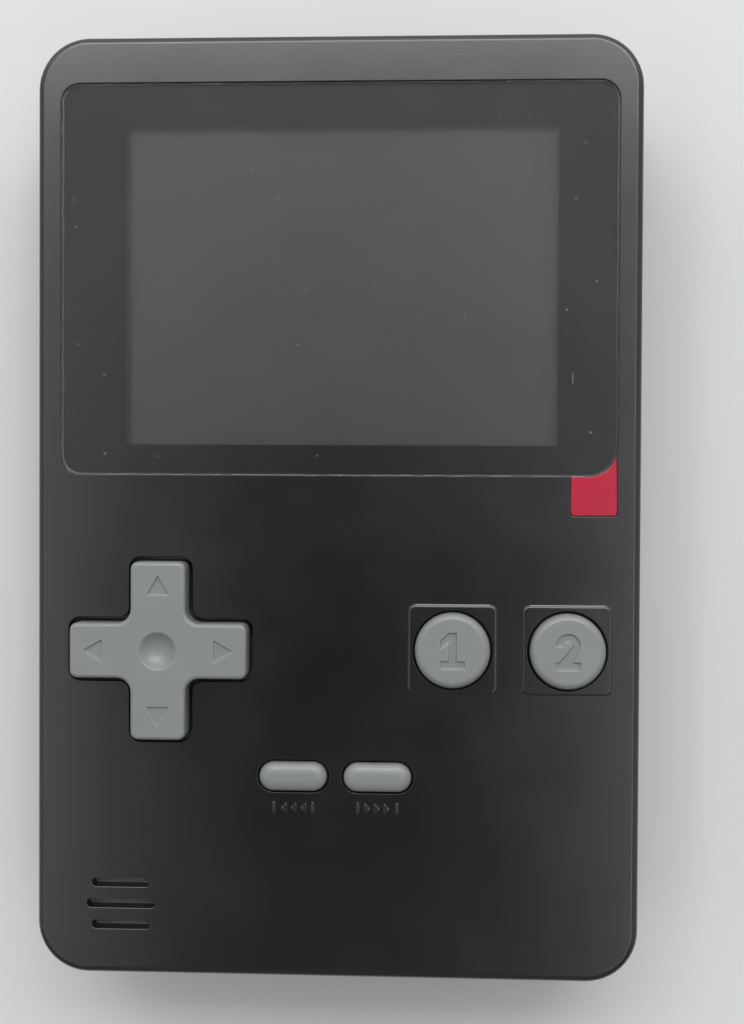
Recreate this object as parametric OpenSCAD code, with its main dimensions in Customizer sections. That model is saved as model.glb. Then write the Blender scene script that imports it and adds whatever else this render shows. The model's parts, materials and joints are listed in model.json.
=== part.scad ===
// Handheld game console: flush screen lens, direction pad, two round buttons, two pill buttons,
// side power knob and a battery door that slides out of the lower end.
// Millimetres. The console lies on its back, face up (+Z), with the top of the screen towards +Y.
// The origin is under the middle of the case, on the surface that it lies on.

/* [Case] */
// Width of the case
body_w = 68; // [67.5:0.5:74]
// Length of the case
body_l = 106; // [105:0.5:114]
// Corner radius seen from the front
corner_r = 5.8; // [5:0.1:6.4]
// Rounding of the edge round the face
front_edge_r = 0.8; // [0.4:0.1:1.2]
// Rounding of the edge round the back
rear_edge_r = 1.5; // [0.8:0.1:1.7]
// Thickness of the side walls
side_wall = 2; // [1.8:0.1:2.2]
// Thickness of the face
face_wall = 2; // [1.8:0.1:2.6]
// Thickness of the back
rear_wall = 2.2; // [1.8:0.1:2.6]
// Height of the lip that locates the front case on the rear case
lip_h = 1.2; // [0.8:0.1:1.3]
// Thickness of that lip
lip_t = 0.9; // [0.7:0.05:1.1]
// Open line that shows between the two case halves
seam_gap = 0.2; // [0.1:0.05:0.3]

/* [Screen] */
// Distance from the side of the case to the lens
lens_from_side = 2.7; // [2.5:0.05:4]
// Height of the lens
lens_h = 43.9; // [43:0.1:46]
// Thickness of the lens
lens_t = 1; // [0.8:0.05:1.1]
// Distance from the top edge of the case to the lens
lens_from_top = 5.25; // [4.5:0.05:5.6]
// Radius of three of the lens's corners
lens_corner_r = 2.1; // [1:0.1:3]
// Radius of the larger lower right corner
lens_key_r = 3.2; // [2.4:0.1:4]
// Gap round the lens in its pocket
lens_gap = 0.12; // [0.08:0.01:0.2]
// Depth of the lens's surface below the face
lens_recess = 0.05; // [0:0.01:0.1]
// Thickness of the dark border film behind the lens
film_t = 0.15; // [0.1:0.01:0.2]
// Clear rim of lens outside the border film
film_inset = 0.35; // [0.2:0.05:0.6]
// Distance from the lens's left edge to the clear window in the border film
window_from_left = 7.1; // [6.5:0.05:8]
// Distance from the lens's right edge to the window
window_from_right = 6.6; // [6:0.05:7.5]
// Height of the clear window in the border film
window_h = 36.1; // [34:0.1:37]
// Distance from the lens's top edge to the window
window_from_top = 4.45; // [3.5:0.05:5]
// Room that the face leaves round the window
window_room = 0.6; // [0.4:0.1:1]
// Border of the display glass round the window
lcd_border = 2.25; // [2.1:0.05:2.5]
// Thickness of the display glass
lcd_t = 1.4; // [1.2:0.1:1.6]
// Width of the connection ledge on the display glass
lcd_ledge = 3; // [2:0.1:4]
// Thickness of the backlight behind the display
backlight_t = 1; // [0.8:0.1:1.2]
// Thickness of the foam gasket between the display and the face
gasket_t = 0.4; // [0.3:0.05:0.5]
// Width of the display's flexible connector
flex_w = 16; // [10:0.5:20]
// Thickness of the flexible connector
flex_t = 0.15; // [0.12:0.01:0.2]

/* [Accent tab] */
// Width of the coloured tab below the lens
tab_w = 5.1; // [4:0.1:7]
// How far the tab reaches below the lens
tab_drop = 4.45; // [3:0.05:5]
// How far the tab's tip climbs beside the lens's larger corner
tab_climb = 2.3; // [1.6:0.1:2.6]
// Thickness of the tab
tab_t = 0.9; // [0.6:0.1:1.1]
// Radius of the tab's corners
tab_corner_r = 0.4; // [0.2:0.05:0.8]
// Gap round the tab
tab_gap = 0.06; // [0.03:0.01:0.1]

/* [Direction pad] */
// Distance of the pad's centre from the left edge of the case
dpad_from_left = 14.1; // [13.6:0.05:14.1]
// Distance of the pad's centre from the lower edge of the case
dpad_from_bottom = 37; // [36.5:0.1:38]
// Length across the pad
dpad_span = 20; // [18:0.1:20.4]
// Width of an arm
dpad_arm = 6.2; // [5.6:0.1:6.8]
// Radius of the corners at an arm's end
dpad_tip_r = 0.85; // [0.6:0.05:1.2]
// Radius of the inner corners between arms
dpad_root_r = 1.6; // [1:0.05:2]
// Rounding of the pad's top edge
dpad_edge_r = 0.45; // [0.2:0.05:0.55]
// Height of the pad above the face
dpad_rise = 2; // [1.4:0.1:2.4]
// Room left round the pad in the face when it is tilted
dpad_play = 0.2; // [0.15:0.05:0.3]
// Largest tilt of the pad either way, in degrees
dpad_tilt = 3.5; // [2:0.5:3.5]
// Width of the retaining flange below the face
dpad_flange_w = 0.8; // [0.6:0.05:0.9]
// Thickness of that flange
dpad_flange_t = 0.7; // [0.5:0.05:0.8]
// Radius of the pivot under the middle of the pad
pivot_r = 1.6; // [1.2:0.1:1.8]
// Diameter of the dish in the middle of the pad
dish_d = 4.2; // [3.5:0.1:5]
// Depth of the dish
dish_depth = 0.9; // [0.3:0.05:1]
// Length of an arrow mark's base
arrow_base = 2.5; // [1.6:0.1:3]
// Height of an arrow mark
arrow_h = 2.15; // [1.4:0.05:2.6]
// Distance from the pad's centre to an arrow's base
arrow_start = 6.3; // [5.5:0.1:7]
// Depth of the marks sunk in the pad and the buttons
mark_depth = 0.3; // [0.1:0.05:0.4]
// Distance from the pad's centre to each dome below it
dpad_dome_reach = 7.2; // [6.8:0.1:7.4]

/* [Buttons] */
// Distance of the outer round button from the right edge of the case
button_from_right = 8.1; // [7.9:0.05:8.3]
// Distance between the two round buttons
button_pitch = 12.8; // [12.6:0.1:13]
// Distance of the round buttons from the lower edge of the case
button_from_bottom = 37.3; // [36.5:0.1:38]
// Diameter of a round button
button_d = 8.4; // [7.6:0.1:8.8]
// Height of a round button above the face
button_rise = 1.8; // [1.4:0.1:2.4]
// Rounding of a round button's top edge
button_edge_r = 0.75; // [0.3:0.05:1]
// Size of the raised square plate round a button
plate_size = 10; // [9.8:0.1:11]
// Height of the raised plate
plate_rise = 0.25; // [0.15:0.05:0.4]
// Corner radius of the raised plate
plate_corner_r = 0.85; // [0.5:0.05:1.5]
// Rounding of the raised plate's top edge
plate_edge_r = 0.15; // [0.1:0.01:0.15]
// Stroke width of the number on a button
digit_stroke = 0.85; // [0.6:0.05:1]
// Height of the number on a button
digit_h = 4; // [3.4:0.1:4.4]
// Width of the number on a button
digit_w = 2.7; // [2.4:0.1:3]
// Distance between the centres of the two pill buttons
pill_pitch = 9.5; // [9.4:0.1:10.4]
// Distance of the pill buttons from the lower edge of the case
pill_from_bottom = 22.85; // [22:0.05:23.2]
// Length of a pill button
pill_l = 7.6; // [6.6:0.1:7.6]
// Width of a pill button
pill_w = 3.2; // [2.8:0.1:3.4]
// Height of a pill button above the face
pill_rise = 1.1; // [1:0.1:1.6]
// Rounding of a pill button's top edge
pill_edge_r = 0.9; // [0.4:0.05:1]
// Gap round the round and pill buttons
button_gap = 0.25; // [0.25:0.05:0.35]
// Width of the flange that keeps a button in
button_flange_w = 0.8; // [0.6:0.05:0.9]
// Thickness of that flange
button_flange_t = 1; // [0.8:0.1:1.1]
// Press of a button
press_travel = 0.9; // [0.6:0.05:1]
// Width of the key that stops a round button turning
key_w = 1.4; // [1:0.1:1.8]
// Length of that key past the flange
key_l = 0.7; // [0.5:0.05:0.8]
// Wall of the collar round a round button's flange
collar_wall = 0.7; // [0.6:0.05:0.8]
// Distance from a pill button's centre to the middle of its mark
label_drop = 3.6; // [3.2:0.1:4.2]
// Height of the raised marks below the pill buttons
label_h = 1.4; // [1:0.05:1.6]
// Width of one raised mark
label_w = 0.75; // [0.5:0.05:0.9]
// Distance between raised marks
label_pitch = 1.1; // [1:0.05:1.2]
// Height of the raised marks above the face
label_rise = 0.15; // [0.1:0.01:0.25]

/* [Membranes] */
// Thickness of the silicone sheets
sheet_t = 0.6; // [0.5:0.05:0.7]
// Height of the domes above the board
dome_h = 2.6; // [2.5:0.05:2.7]
// Radius of a dome's top
dome_top_r = 2.2; // [2:0.1:2.4]
// Radius of a dome's foot
dome_foot_r = 3.1; // [2.8:0.1:3.2]
// Rim of sheet outside the domes
sheet_rim = 0.8; // [0.5:0.1:1]
// Radius of a carbon contact pill
contact_r = 1.5; // [1.2:0.1:1.6]
// Thickness of a carbon contact pill
contact_pill_t = 0.5; // [0.4:0.05:0.5]
// Height of the direction pad's contact pills above the board
dpad_contact_gap = 0.65; // [0.65:0.05:0.8]
// Room round a contact pill inside its dome
dome_room = 0.5; // [0.4:0.05:0.6]

/* [Speaker] */
// Distance of the grille's middle from the left edge of the case
grille_from_left = 9.6; // [9.5:0.1:12]
// Distance of the grille's middle from the lower edge of the case
grille_from_bottom = 8; // [7.6:0.1:9]
// Length of the grille's middle slot
slot_l = 7.8; // [6:0.1:8]
// How much shorter the two outer slots are
slot_step = 1.2; // [0.4:0.1:2]
// Width of a slot
slot_w = 0.95; // [0.7:0.05:1.1]
// Distance between slots
slot_pitch = 2.4; // [2:0.05:2.5]
// Diameter of the speaker
speaker_d = 13; // [12.6:0.1:13.4]
// Depth of the speaker
speaker_h = 4; // [3.6:0.1:4.2]
// Diameter of the speaker's magnet
magnet_d = 8; // [6:0.1:9]
// Distance of the speaker's middle above the grille's middle
speaker_lift = 0.8; // [0.6:0.1:1]
// Wall of the ring that holds the speaker
ring_wall = 1; // [0.8:0.1:1.2]
// Height of that ring
ring_h = 2.4; // [1.8:0.1:3]

/* [Power switch] */
// Distance of the power knob from the top edge of the case
switch_from_top = 23; // [19:0.5:30]
// Travel of the power knob
switch_travel = 2.5; // [2:0.1:3]
// Length of the switch on the board
switch_l = 8.6; // [8:0.1:9.5]
// Depth of the switch
switch_d = 3.6; // [3.2:0.1:4.2]
// Height of the switch
switch_h = 3.5; // [3.5:0.1:4]
// Length of the knob's pad
knob_l = 6; // [5:0.1:7]
// Height of the knob's pad
knob_h = 3.2; // [2.8:0.1:3.4]
// Depth of the knob's pocket in the side wall
pocket_depth = 0.9; // [0.7:0.05:1]
// Number of ridges on the knob
knob_ridges = 4; // [3:1:5]

/* [Board] */
// Thickness of the main board
board_t = 1.2; // [1:0.1:1.6]
// Space between the battery bay and the board
board_gap = 0.7; // [0.5:0.1:1.5]
// Space between the board and the face
front_space = 4.4; // [4.4:0.05:4.6]
// Gap round the board
board_edge_gap = 0.5; // [0.3:0.1:0.8]
// Radius of a board post
post_r = 1.9; // [1.7:0.1:2]
// Distance of the board posts from the side walls
post_inset = 2.8; // [2.5:0.1:3]
// Diameter of the chip's epoxy drop
drop_d = 12; // [9:0.5:16]
// Height of the epoxy drop
drop_h = 1.5; // [1:0.1:2]

/* [Power] */
// Diameter of a cell
cell_d = 10.5; // [10:0.1:10.8]
// Length of a cell
cell_l = 44.5; // [43:0.1:44.6]
// Diameter of a cell's raised terminal
nub_d = 3.8; // [3:0.1:5.5]
// Height of a cell's raised terminal
nub_h = 1; // [0.8:0.1:1.4]
// Gap round a cell
cell_gap = 0.3; // [0.2:0.05:0.5]
// Wall of the battery bay
bay_wall = 1.2; // [1:0.1:1.3]
// Length of a pressed battery spring
spring_l = 4.5; // [4.2:0.1:4.8]
// Wire of a battery spring
spring_wire = 0.6; // [0.5:0.05:0.65]
// Radius of a battery spring at the plate
spring_foot_r = 4; // [3.6:0.1:4.2]
// Radius of a battery spring at the cell
spring_tip_r = 2.4; // [2:0.1:2.8]
// Turns of a battery spring
spring_turns = 3; // [2:1:3]
// Thickness of the contact plates
contact_t = 0.4; // [0.3:0.05:0.5]
// Width of a contact plate
contact_w = 8; // [7:0.1:9]
// Diameter of the insulated leads
lead_d = 0.9; // [0.7:0.1:1]
// Width of the battery door
door_w = 51; // [51:0.1:52]
// Thickness of the battery door
door_t = 1.8; // [1.7:0.1:2.2]
// Gap round the battery door
door_gap = 0.12; // [0.1:0.01:0.15]
// Width of the door's sliding tongues
tongue_w = 1; // [0.7:0.1:1.2]
// Number of grip grooves on the door
grip_grooves = 4; // [2:1:5]

/* [Fasteners] */
// Shank diameter of the case screws
screw_d = 2; // [1.8:0.1:2.2]
// Head diameter of the case screws
screw_head_d = 3.8; // [3.4:0.1:4]
// Head height of the screws
screw_head_h = 1.3; // [1:0.1:1.5]
// Depth of the case screws' heads in the back
screw_sink = 4.2; // [4.2:0.1:5]
// Length of thread in a front boss
thread_l = 6; // [4:0.5:6.5]
// Radius of a front screw boss
front_boss_r = 2.3; // [2.1:0.1:2.4]
// Radius of a rear screw boss
rear_boss_r = 3; // [2.9:0.1:3.1]
// Distance of the screws from the ends of the case
screw_from_end = 4.8; // [4.7:0.05:4.9]
// Distance of the upper screws from the sides of the case
screw_from_side = 6.4; // [6.2:0.1:7]
// Distance of the lower screws from the centre line
lower_screw_x = 14; // [10:0.5:18]
// Clearance round a screw's shank
screw_gap = 0.05; // [0.03:0.01:0.1]

/* [Hidden] */
$fn = 64;

// Finishes
case_black = "#1c1d1e";
key_grey = "#8f9596";
tab_red = "#c0243f";
glass_dark = "#2b2d2c";
film_black = "#0b0b0c";
board_green = "#1f5a3a";
steel = "#b9bcc0";
foam_black = "#222224";
silicone_white = "#d9dad6";
carbon = "#26262a";
copper_amber = "#b8742c";
nylon_white = "#e6e4dc";
cell_sleeve = "#3d4a6a";
lead_red = "#b02a2a";

// Small fits: a cut's run past a face, a gap between seated pieces, and a sliding fit
over = 0.1;
seat_gap = 0.05;
slide_gap = 0.1;

// Levels, from the back up to the face
groove_z = door_t + door_gap;
door_frame_t = groove_z + bay_wall;
cell_z = door_t + cell_gap + cell_d / 2;
bay_ceiling_z = cell_z + cell_d / 2 + cell_gap;
board_z = bay_ceiling_z + bay_wall + board_gap;
board_top = board_z + board_t;
inner_z = board_top + front_space;
body_t = inner_z + face_wall;
dome_z = board_top + dome_h;
key_base_z = dome_z + seat_gap;
lens_top_z = body_t - lens_recess;
film_top_z = lens_top_z - lens_t;
pocket_floor_z = film_top_z - film_t;
display_top_z = inner_z - gasket_t;
backlight_top_z = display_top_z - lcd_t;
cushion_top_z = backlight_top_z - backlight_t;
speaker_top_z = inner_z - gasket_t;
speaker_back_z = speaker_top_z - speaker_h;
pivot_z = board_top + seat_gap + pivot_r;

// Inside of the case
inner_w = body_w - 2 * side_wall;
inner_l = body_l - 2 * side_wall;
inner_r = corner_r - side_wall;
inner_x = inner_w / 2;

// Power knob in the right-hand wall
switch_y = body_l / 2 - switch_from_top;
knob_z = board_z - switch_h / 2;
knob_room = 0.3;
knob_pocket_h = knob_h + 2 * knob_room;
knob_pocket_l = knob_l + switch_travel + 2 * knob_room;
knob_stem_l = 3;
knob_stem_h = 1.6;
knob_keeper_l = 9;
knob_keeper_h = 3;
knob_keeper_t = 0.6;
knob_slot_gap = 0.15;
knob_ridge_w = 0.6;
knob_ridge_h = 0.3;
knob_off_y = switch_y - switch_travel / 2;
knob_pocket_x = body_w / 2 - pocket_depth;
actuator_w = 1.5;
switch_front_gap = 1;
switch_front_x = inner_x - switch_front_gap;
switch_mouth_d = 1.2;
joint_below_knob = 0.75;
joint_z = knob_z - knob_pocket_h / 2 - joint_below_knob;
lip_gap = 0.1;

// Screen places
lens_y = body_l / 2 - lens_from_top - lens_h / 2;
lens_bottom = lens_y - lens_h / 2;
lens_w = body_w - 2 * lens_from_side;
window_w = lens_w - window_from_left - window_from_right;
window_x = (window_from_left - window_from_right) / 2;
window_y = lens_y + lens_h / 2 - window_from_top - window_h / 2;
lcd_w = window_w + 2 * lcd_border + lcd_ledge;
lcd_h = window_h + 2 * lcd_border;
lcd_x = window_x + lcd_ledge / 2;
gasket_w = 2;
backlight_border = 0.4;
cushion_border = 3;
tab_right = lens_w / 2;

// Control places
dpad_x = dpad_from_left - body_w / 2;
dpad_y = dpad_from_bottom - body_l / 2;
dpad_swing = (body_t - pivot_z) * sin(dpad_tilt);
dpad_gap = dpad_swing + dpad_play;
button_y = button_from_bottom - body_l / 2;
button_outer_x = body_w / 2 - button_from_right;
button_xs = [button_outer_x - button_pitch, button_outer_x];
pill_y = pill_from_bottom - body_l / 2;
pill_xs = [-pill_pitch / 2, pill_pitch / 2];
button_flange_d = button_d + 2 * button_flange_w;
collar_gap = 0.25;
collar_h = button_flange_t + press_travel + seat_gap;
contact_top = press_travel + seat_gap + contact_pill_t;
label_count = 5;

// Speaker places
grille_x = grille_from_left - body_w / 2;
grille_y = grille_from_bottom - body_l / 2;
speaker_y = grille_y + speaker_lift;
ring_gap = 0.15;
ring_r = speaker_d / 2 + ring_gap + ring_wall;
speaker_rim = 1.2;
cone_t = 0.2;
cone_drop = 0.5;
magnet_t = 1.6;

// Battery bay, set from the lower end
screw_low_y = screw_from_end - body_l / 2;
screw_high_y = body_l / 2 - screw_from_end;
screw_high_x = body_w / 2 - screw_from_side;
bay_boss_gap = 0.2;
cell_count = 3;
cell_pitch = cell_d + cell_gap;
bay_l = cell_count * cell_pitch + cell_gap;
bay_w = cell_l + spring_l + 2 * contact_t + 2 * seat_gap;
bay_low_y = screw_low_y + rear_boss_r + bay_boss_gap + bay_wall;
bay_high_y = bay_low_y + bay_l;
cell_ys = [for (i = [0:cell_count - 1]) bay_low_y + cell_gap + cell_d / 2 + i * cell_pitch];
plate_low_z = cell_z - contact_w / 2;
solder_tab_w = 2;
solder_tab_l = 1.4;
solder_tab_gap = 0.1;
cell_shoulder_r = 0.6;

// Battery door
door_lap = 1.6;
door_high_y = bay_high_y + door_lap;
tongue_t = door_t / 2;
door_frame_w = bay_w / 2 + bay_wall + tongue_w + door_gap + 1;
grip_l = 14;
grip_w = 1.1;
grip_depth = 0.4;
grip_pitch = 2.2;
grip_from_end = 5;

// Board outline and its posts
board_w = inner_w - 2 * board_edge_gap;
board_low_y = speaker_y + ring_r + board_edge_gap;
board_high_y = screw_high_y - front_boss_r - board_edge_gap;
board_corner_r = 1;
post_x = inner_x - post_inset;
post_ys = [lens_bottom - post_inset - post_r, pill_y];
board_screw_l = 4;
board_screw_d = 1.6;
board_screw_head_d = 3.2;
board_screw_head_h = board_gap - 2 * seat_gap;
screw_points = [
    [-screw_high_x, screw_high_y], [screw_high_x, screw_high_y],
    [-lower_screw_x, screw_low_y], [lower_screw_x, screw_low_y]
];
screw_l = joint_z + thread_l - screw_sink;
screw_head_gap = 0.25;
slot_cut_w = 0.6;

// Components on the back of the board: places from the chip, then sizes
drop_x = -6;
drop_y = lens_y;
capacitor_r = 2;
capacitor_h = 5.4;
capacitor_xs = [14, 19];
capacitor_drop = 8;
capacitor_y = lens_y - capacitor_drop;
memory_size = [5.2, 7.6, 1.6];
memory_place = [8, 6];
crystal_size = [8, 3.4, 2.4];
crystal_place = [-6, -13];

// Routes of the leads: the ends follow the pieces, the middles are chosen by hand
lead_lift = 0.15;
lead_sides = 8;
lead_up = [0, 0, 1];
lead_tab_x = bay_w / 2 + bay_wall + solder_tab_l / 2;
lead_tab_z = cell_z + contact_t / 2 + lead_d / 2 + lead_lift;
lead_x = (bay_w / 2 + bay_wall + inner_x) / 2;
lead_board_z = board_z - lead_d / 2 - lead_lift;
lead_screw_gap = 0.6;
lead_end_x = post_x - board_screw_head_d / 2 - lead_d - lead_screw_gap;
lead_minus = [
    [-lead_tab_x, cell_ys[0] - 0.8, lead_tab_z], [-lead_tab_x, cell_ys[0] + 1.6, lead_tab_z],
    [-lead_x, cell_ys[0] + 5, 8], [-lead_x, cell_ys[1], 8], [-lead_x, cell_ys[2] - 4, 8],
    [-lead_x, cell_ys[2] + 2, 8], [-lead_x, bay_high_y + 2, 8.4], [0.6 - lead_x, bay_high_y + 6, 9.6],
    [2 - lead_x, bay_high_y + 9, 11.8], [-lead_end_x, bay_high_y + 11, lead_board_z]
];
lead_plus = [
    [lead_tab_x, cell_ys[2] - 0.8, lead_tab_z], [lead_tab_x, cell_ys[2] + 1.6, lead_tab_z],
    [lead_x, bay_high_y, 8], [lead_x - 0.3, bay_high_y + 3, 9], [lead_x - 1.2, bay_high_y + 7, 11],
    [lead_x - 2, bay_high_y + 9.6, 12.8], [lead_end_x, bay_high_y + 11.6, lead_board_z]
];
speaker_lead_start = [grille_x + 3, speaker_y + 4.4, speaker_back_z - lead_d / 2 - lead_lift];
speaker_lead_end = [grille_x + 7.9, board_low_y + 2, board_top + lead_d / 2 + seat_gap];
speaker_lead_middle = [
    [grille_x + 4.6, board_low_y - 2.3, board_top - 0.6], [grille_x + 6, board_low_y - 1.1, board_top + 0.4]
];
speaker_lead_step = [2, 0, 0];

// Plain rounded outlines and solids

// Rectangle with its own radius at each corner: [upper left, upper right, lower right, lower left]
module corner_rect(w, h, radii) {
    tl = radii[0];
    tr = radii[1];
    br = radii[2];
    bl = radii[3];
    polygon([
        [bl - w / 2, -h / 2], [w / 2 - br, -h / 2], [w / 2, br - h / 2], [w / 2, h / 2 - tr],
        [w / 2 - tr, h / 2], [tl - w / 2, h / 2], [-w / 2, h / 2 - tl], [-w / 2, bl - h / 2]
    ]);
    translate([tl - w / 2, h / 2 - tl]) circle(tl);
    translate([w / 2 - tr, h / 2 - tr]) circle(tr);
    translate([w / 2 - br, br - h / 2]) circle(br);
    translate([bl - w / 2, bl - h / 2]) circle(bl);
}

// Rectangle with four equal corner radii
module round_rect(w, h, r) {
    corner_rect(w, h, [r, r, r, r]);
}

// Plate from level z0 to level z1 over a round rectangle
module round_plate(w, h, r, z0, z1) {
    translate([0, 0, z0]) linear_extrude(z1 - z0) round_rect(w, h, r);
}

// Block between two corners
module block(low, high) {
    translate(low) cube(high - low);
}

// Half of a slab's section: from the middle out to x = reach, with its upper edge rounded
module edge_section(reach, height, edge) {
    difference() {
        square([reach, height]);
        translate([reach - edge, height - edge]) difference() {
            square(edge + over);
            circle(edge);
        }
    }
}

// Slab over a round rectangle with its upper edge rounded
module soft_slab(w, h, r, height, edge) {
    for (side = [0, 1]) {
        mirror([side, 0, 0]) {
            rotate([90, 0, 0]) linear_extrude(h - 2 * r, center = true) edge_section(w / 2, height, edge);
        }
        mirror([0, side, 0]) {
            translate([0, h / 2 - r, 0]) {
                rotate([90, 0, 90]) linear_extrude(w - 2 * r, center = true) edge_section(r, height, edge);
            }
        }
        for (end = [0, 1]) {
            mirror([side, 0, 0]) mirror([0, end, 0]) translate([w / 2 - r, h / 2 - r, 0]) {
                rotate_extrude(angle = 90) edge_section(r, height, edge);
            }
        }
    }
}

// Long round bar with its upper edge rounded, lying along X
module soft_pill(l, w, height, edge) {
    straight = l - w;
    for (side = [0, 1]) {
        mirror([0, side, 0]) {
            rotate([90, 0, 90]) linear_extrude(straight, center = true) edge_section(w / 2, height, edge);
        }
        mirror([side, 0, 0]) translate([straight / 2, 0, 0]) rotate([0, 0, -90]) {
            rotate_extrude(angle = 180) edge_section(w / 2, height, edge);
        }
    }
}

// Long round outline along X
module pill_outline(l, w) {
    square([l - w, w], center = true);
    for (side = [-1, 1]) {
        translate([side * (l - w) / 2, 0]) circle(w / 2);
    }
}

// Cross outline with round tips and filled inner corners
module cross_outline(span, arm, tip, root) {
    round_rect(span, arm, tip);
    round_rect(arm, span, tip);
    for (turn = [0:90:270]) {
        rotate(turn) translate([arm / 2, arm / 2]) difference() {
            translate([-over, -over]) square(root + over);
            translate([root, root]) circle(root);
        }
    }
}

// Cross-shaped slab with its upper edge rounded all the way round
module soft_cross(span, arm, tip, root, height, edge) {
    soft_slab(span, arm, tip, height, edge);
    soft_slab(arm, span, tip, height, edge);
    for (turn = [0:90:270]) {
        rotate(turn) translate([arm / 2, arm / 2, 0]) difference() {
            translate([-edge, -edge, 0]) cube([root + edge, root + edge, height]);
            translate([root, root, 0]) rotate_extrude() flared_section(root, height, edge);
        }
    }
}

// Section of a hole whose upper rim is rounded
module flared_section(r, height, edge) {
    translate([0, -over]) square([r, height + 2 * over]);
    translate([r, height - edge]) difference() {
        square([edge, edge + over]);
        translate([edge, 0]) circle(edge);
    }
}

// Lens outline, grown by a gap for its pocket
module lens_outline(grow) {
    small = lens_corner_r + grow;
    large = lens_key_r + grow;
    translate([0, lens_y]) corner_rect(lens_w + 2 * grow, lens_h + 2 * grow, [small, small, large, small]);
}

// Accent tab outline, grown by a gap for its pocket, before the lens pocket is taken from it
module tab_outline(grow) {
    low = lens_bottom - tab_drop;
    high = lens_bottom + tab_climb;
    translate([tab_right - tab_w / 2, (low + high) / 2]) {
        round_rect(tab_w + 2 * grow, high - low + 2 * grow, tab_corner_r + grow);
    }
}

// Tubes swept along a list of points

function unit(v) = v / norm(v);
function along(p, i) = unit(p[min(i + 1, len(p) - 1)] - p[max(i - 1, 0)]);
function ring(p, i, r, sides, up) =
    let (
        t = along(p, i),
        u = unit(up - (up * t) * t),
        v = cross(t, u)
    )
    [for (k = [0:sides - 1]) p[i] + r * (cos(360 * k / sides) * u + sin(360 * k / sides) * v)];

// One closed tube of radius r along points p, with a reference direction that p never follows
module tube(p, r, sides, up) {
    last = len(p) - 1;
    points = [for (i = [0:last]) each ring(p, i, r, sides, up)];
    walls = [
        for (i = [0:last - 1], k = [0:sides - 1])
            let (
                a = i * sides + k,
                b = i * sides + (k + 1) % sides
            )
            each [[a, a + sides, b], [b, a + sides, b + sides]]
    ];
    start = [for (k = [1:sides - 2]) [0, k, k + 1]];
    finish = [for (k = [1:sides - 2]) [last * sides, last * sides + k + 1, last * sides + k]];
    polyhedron(points, concat(walls, start, finish));
}

// Case halves

module inner_space(z0, z1) {
    round_plate(inner_w, inner_l, inner_r, z0, z1);
}

// Inside of the case grown by the thickness of the locating lip
module lip_space(grow, z0, z1) {
    round_plate(inner_w + 2 * grow, inner_l + 2 * grow, inner_r + grow, z0, z1);
}

module front_shell() {
    low = joint_z + seam_gap;
    difference() {
        translate([0, 0, low]) soft_slab(body_w, body_l, corner_r, body_t - low, front_edge_r);
        inner_space(low - over, inner_z);
        lip_space(lip_t + lip_gap, low - over, joint_z + lip_h + lip_gap);
    }
}

// Raised marks below a pill button: arrows between two bars, pointing left or right
module label_marks(direction) {
    middle = (label_count - 1) / 2;
    for (i = [0:label_count - 1]) {
        translate([(i - middle) * label_pitch * direction, 0]) {
            if (i == 0 || i == label_count - 1) {
                square([label_w / 2, label_h], center = true);
            } else {
                rotate(direction < 0 ? 180 : 0) {
                    polygon([[-label_w / 2, -label_h / 2], [label_w / 2, 0], [-label_w / 2, label_h / 2]]);
                }
            }
        }
    }
}

module front_case() {
    color(case_black) difference() {
        union() {
            front_shell();
            for (x = button_xs) {
                plate_h = face_wall / 2 + plate_rise;
                translate([x, button_y, inner_z + face_wall / 2]) {
                    soft_slab(plate_size, plate_size, plate_corner_r, plate_h, plate_edge_r);
                }
                translate([x, button_y, inner_z - collar_h]) {
                    cylinder(h = collar_h + over, d = button_flange_d + 2 * (collar_gap + collar_wall));
                }
            }
            for (i = [0, 1]) {
                translate([pill_xs[i], pill_y - label_drop, body_t - over]) {
                    linear_extrude(label_rise + over) label_marks(i == 0 ? -1 : 1);
                }
            }
            translate([grille_x, speaker_y, inner_z - ring_h]) cylinder(h = ring_h + over, r = ring_r);
            for (p = screw_points) {
                translate([p[0], p[1], joint_z]) cylinder(h = inner_z - joint_z + over, r = front_boss_r);
            }
            for (side = [-1, 1], y = post_ys) {
                translate([side * post_x, y, board_top]) cylinder(h = front_space + over, r = post_r);
            }
        }
        front_openings();
        front_bores();
        knob_opening();
    }
}

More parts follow.
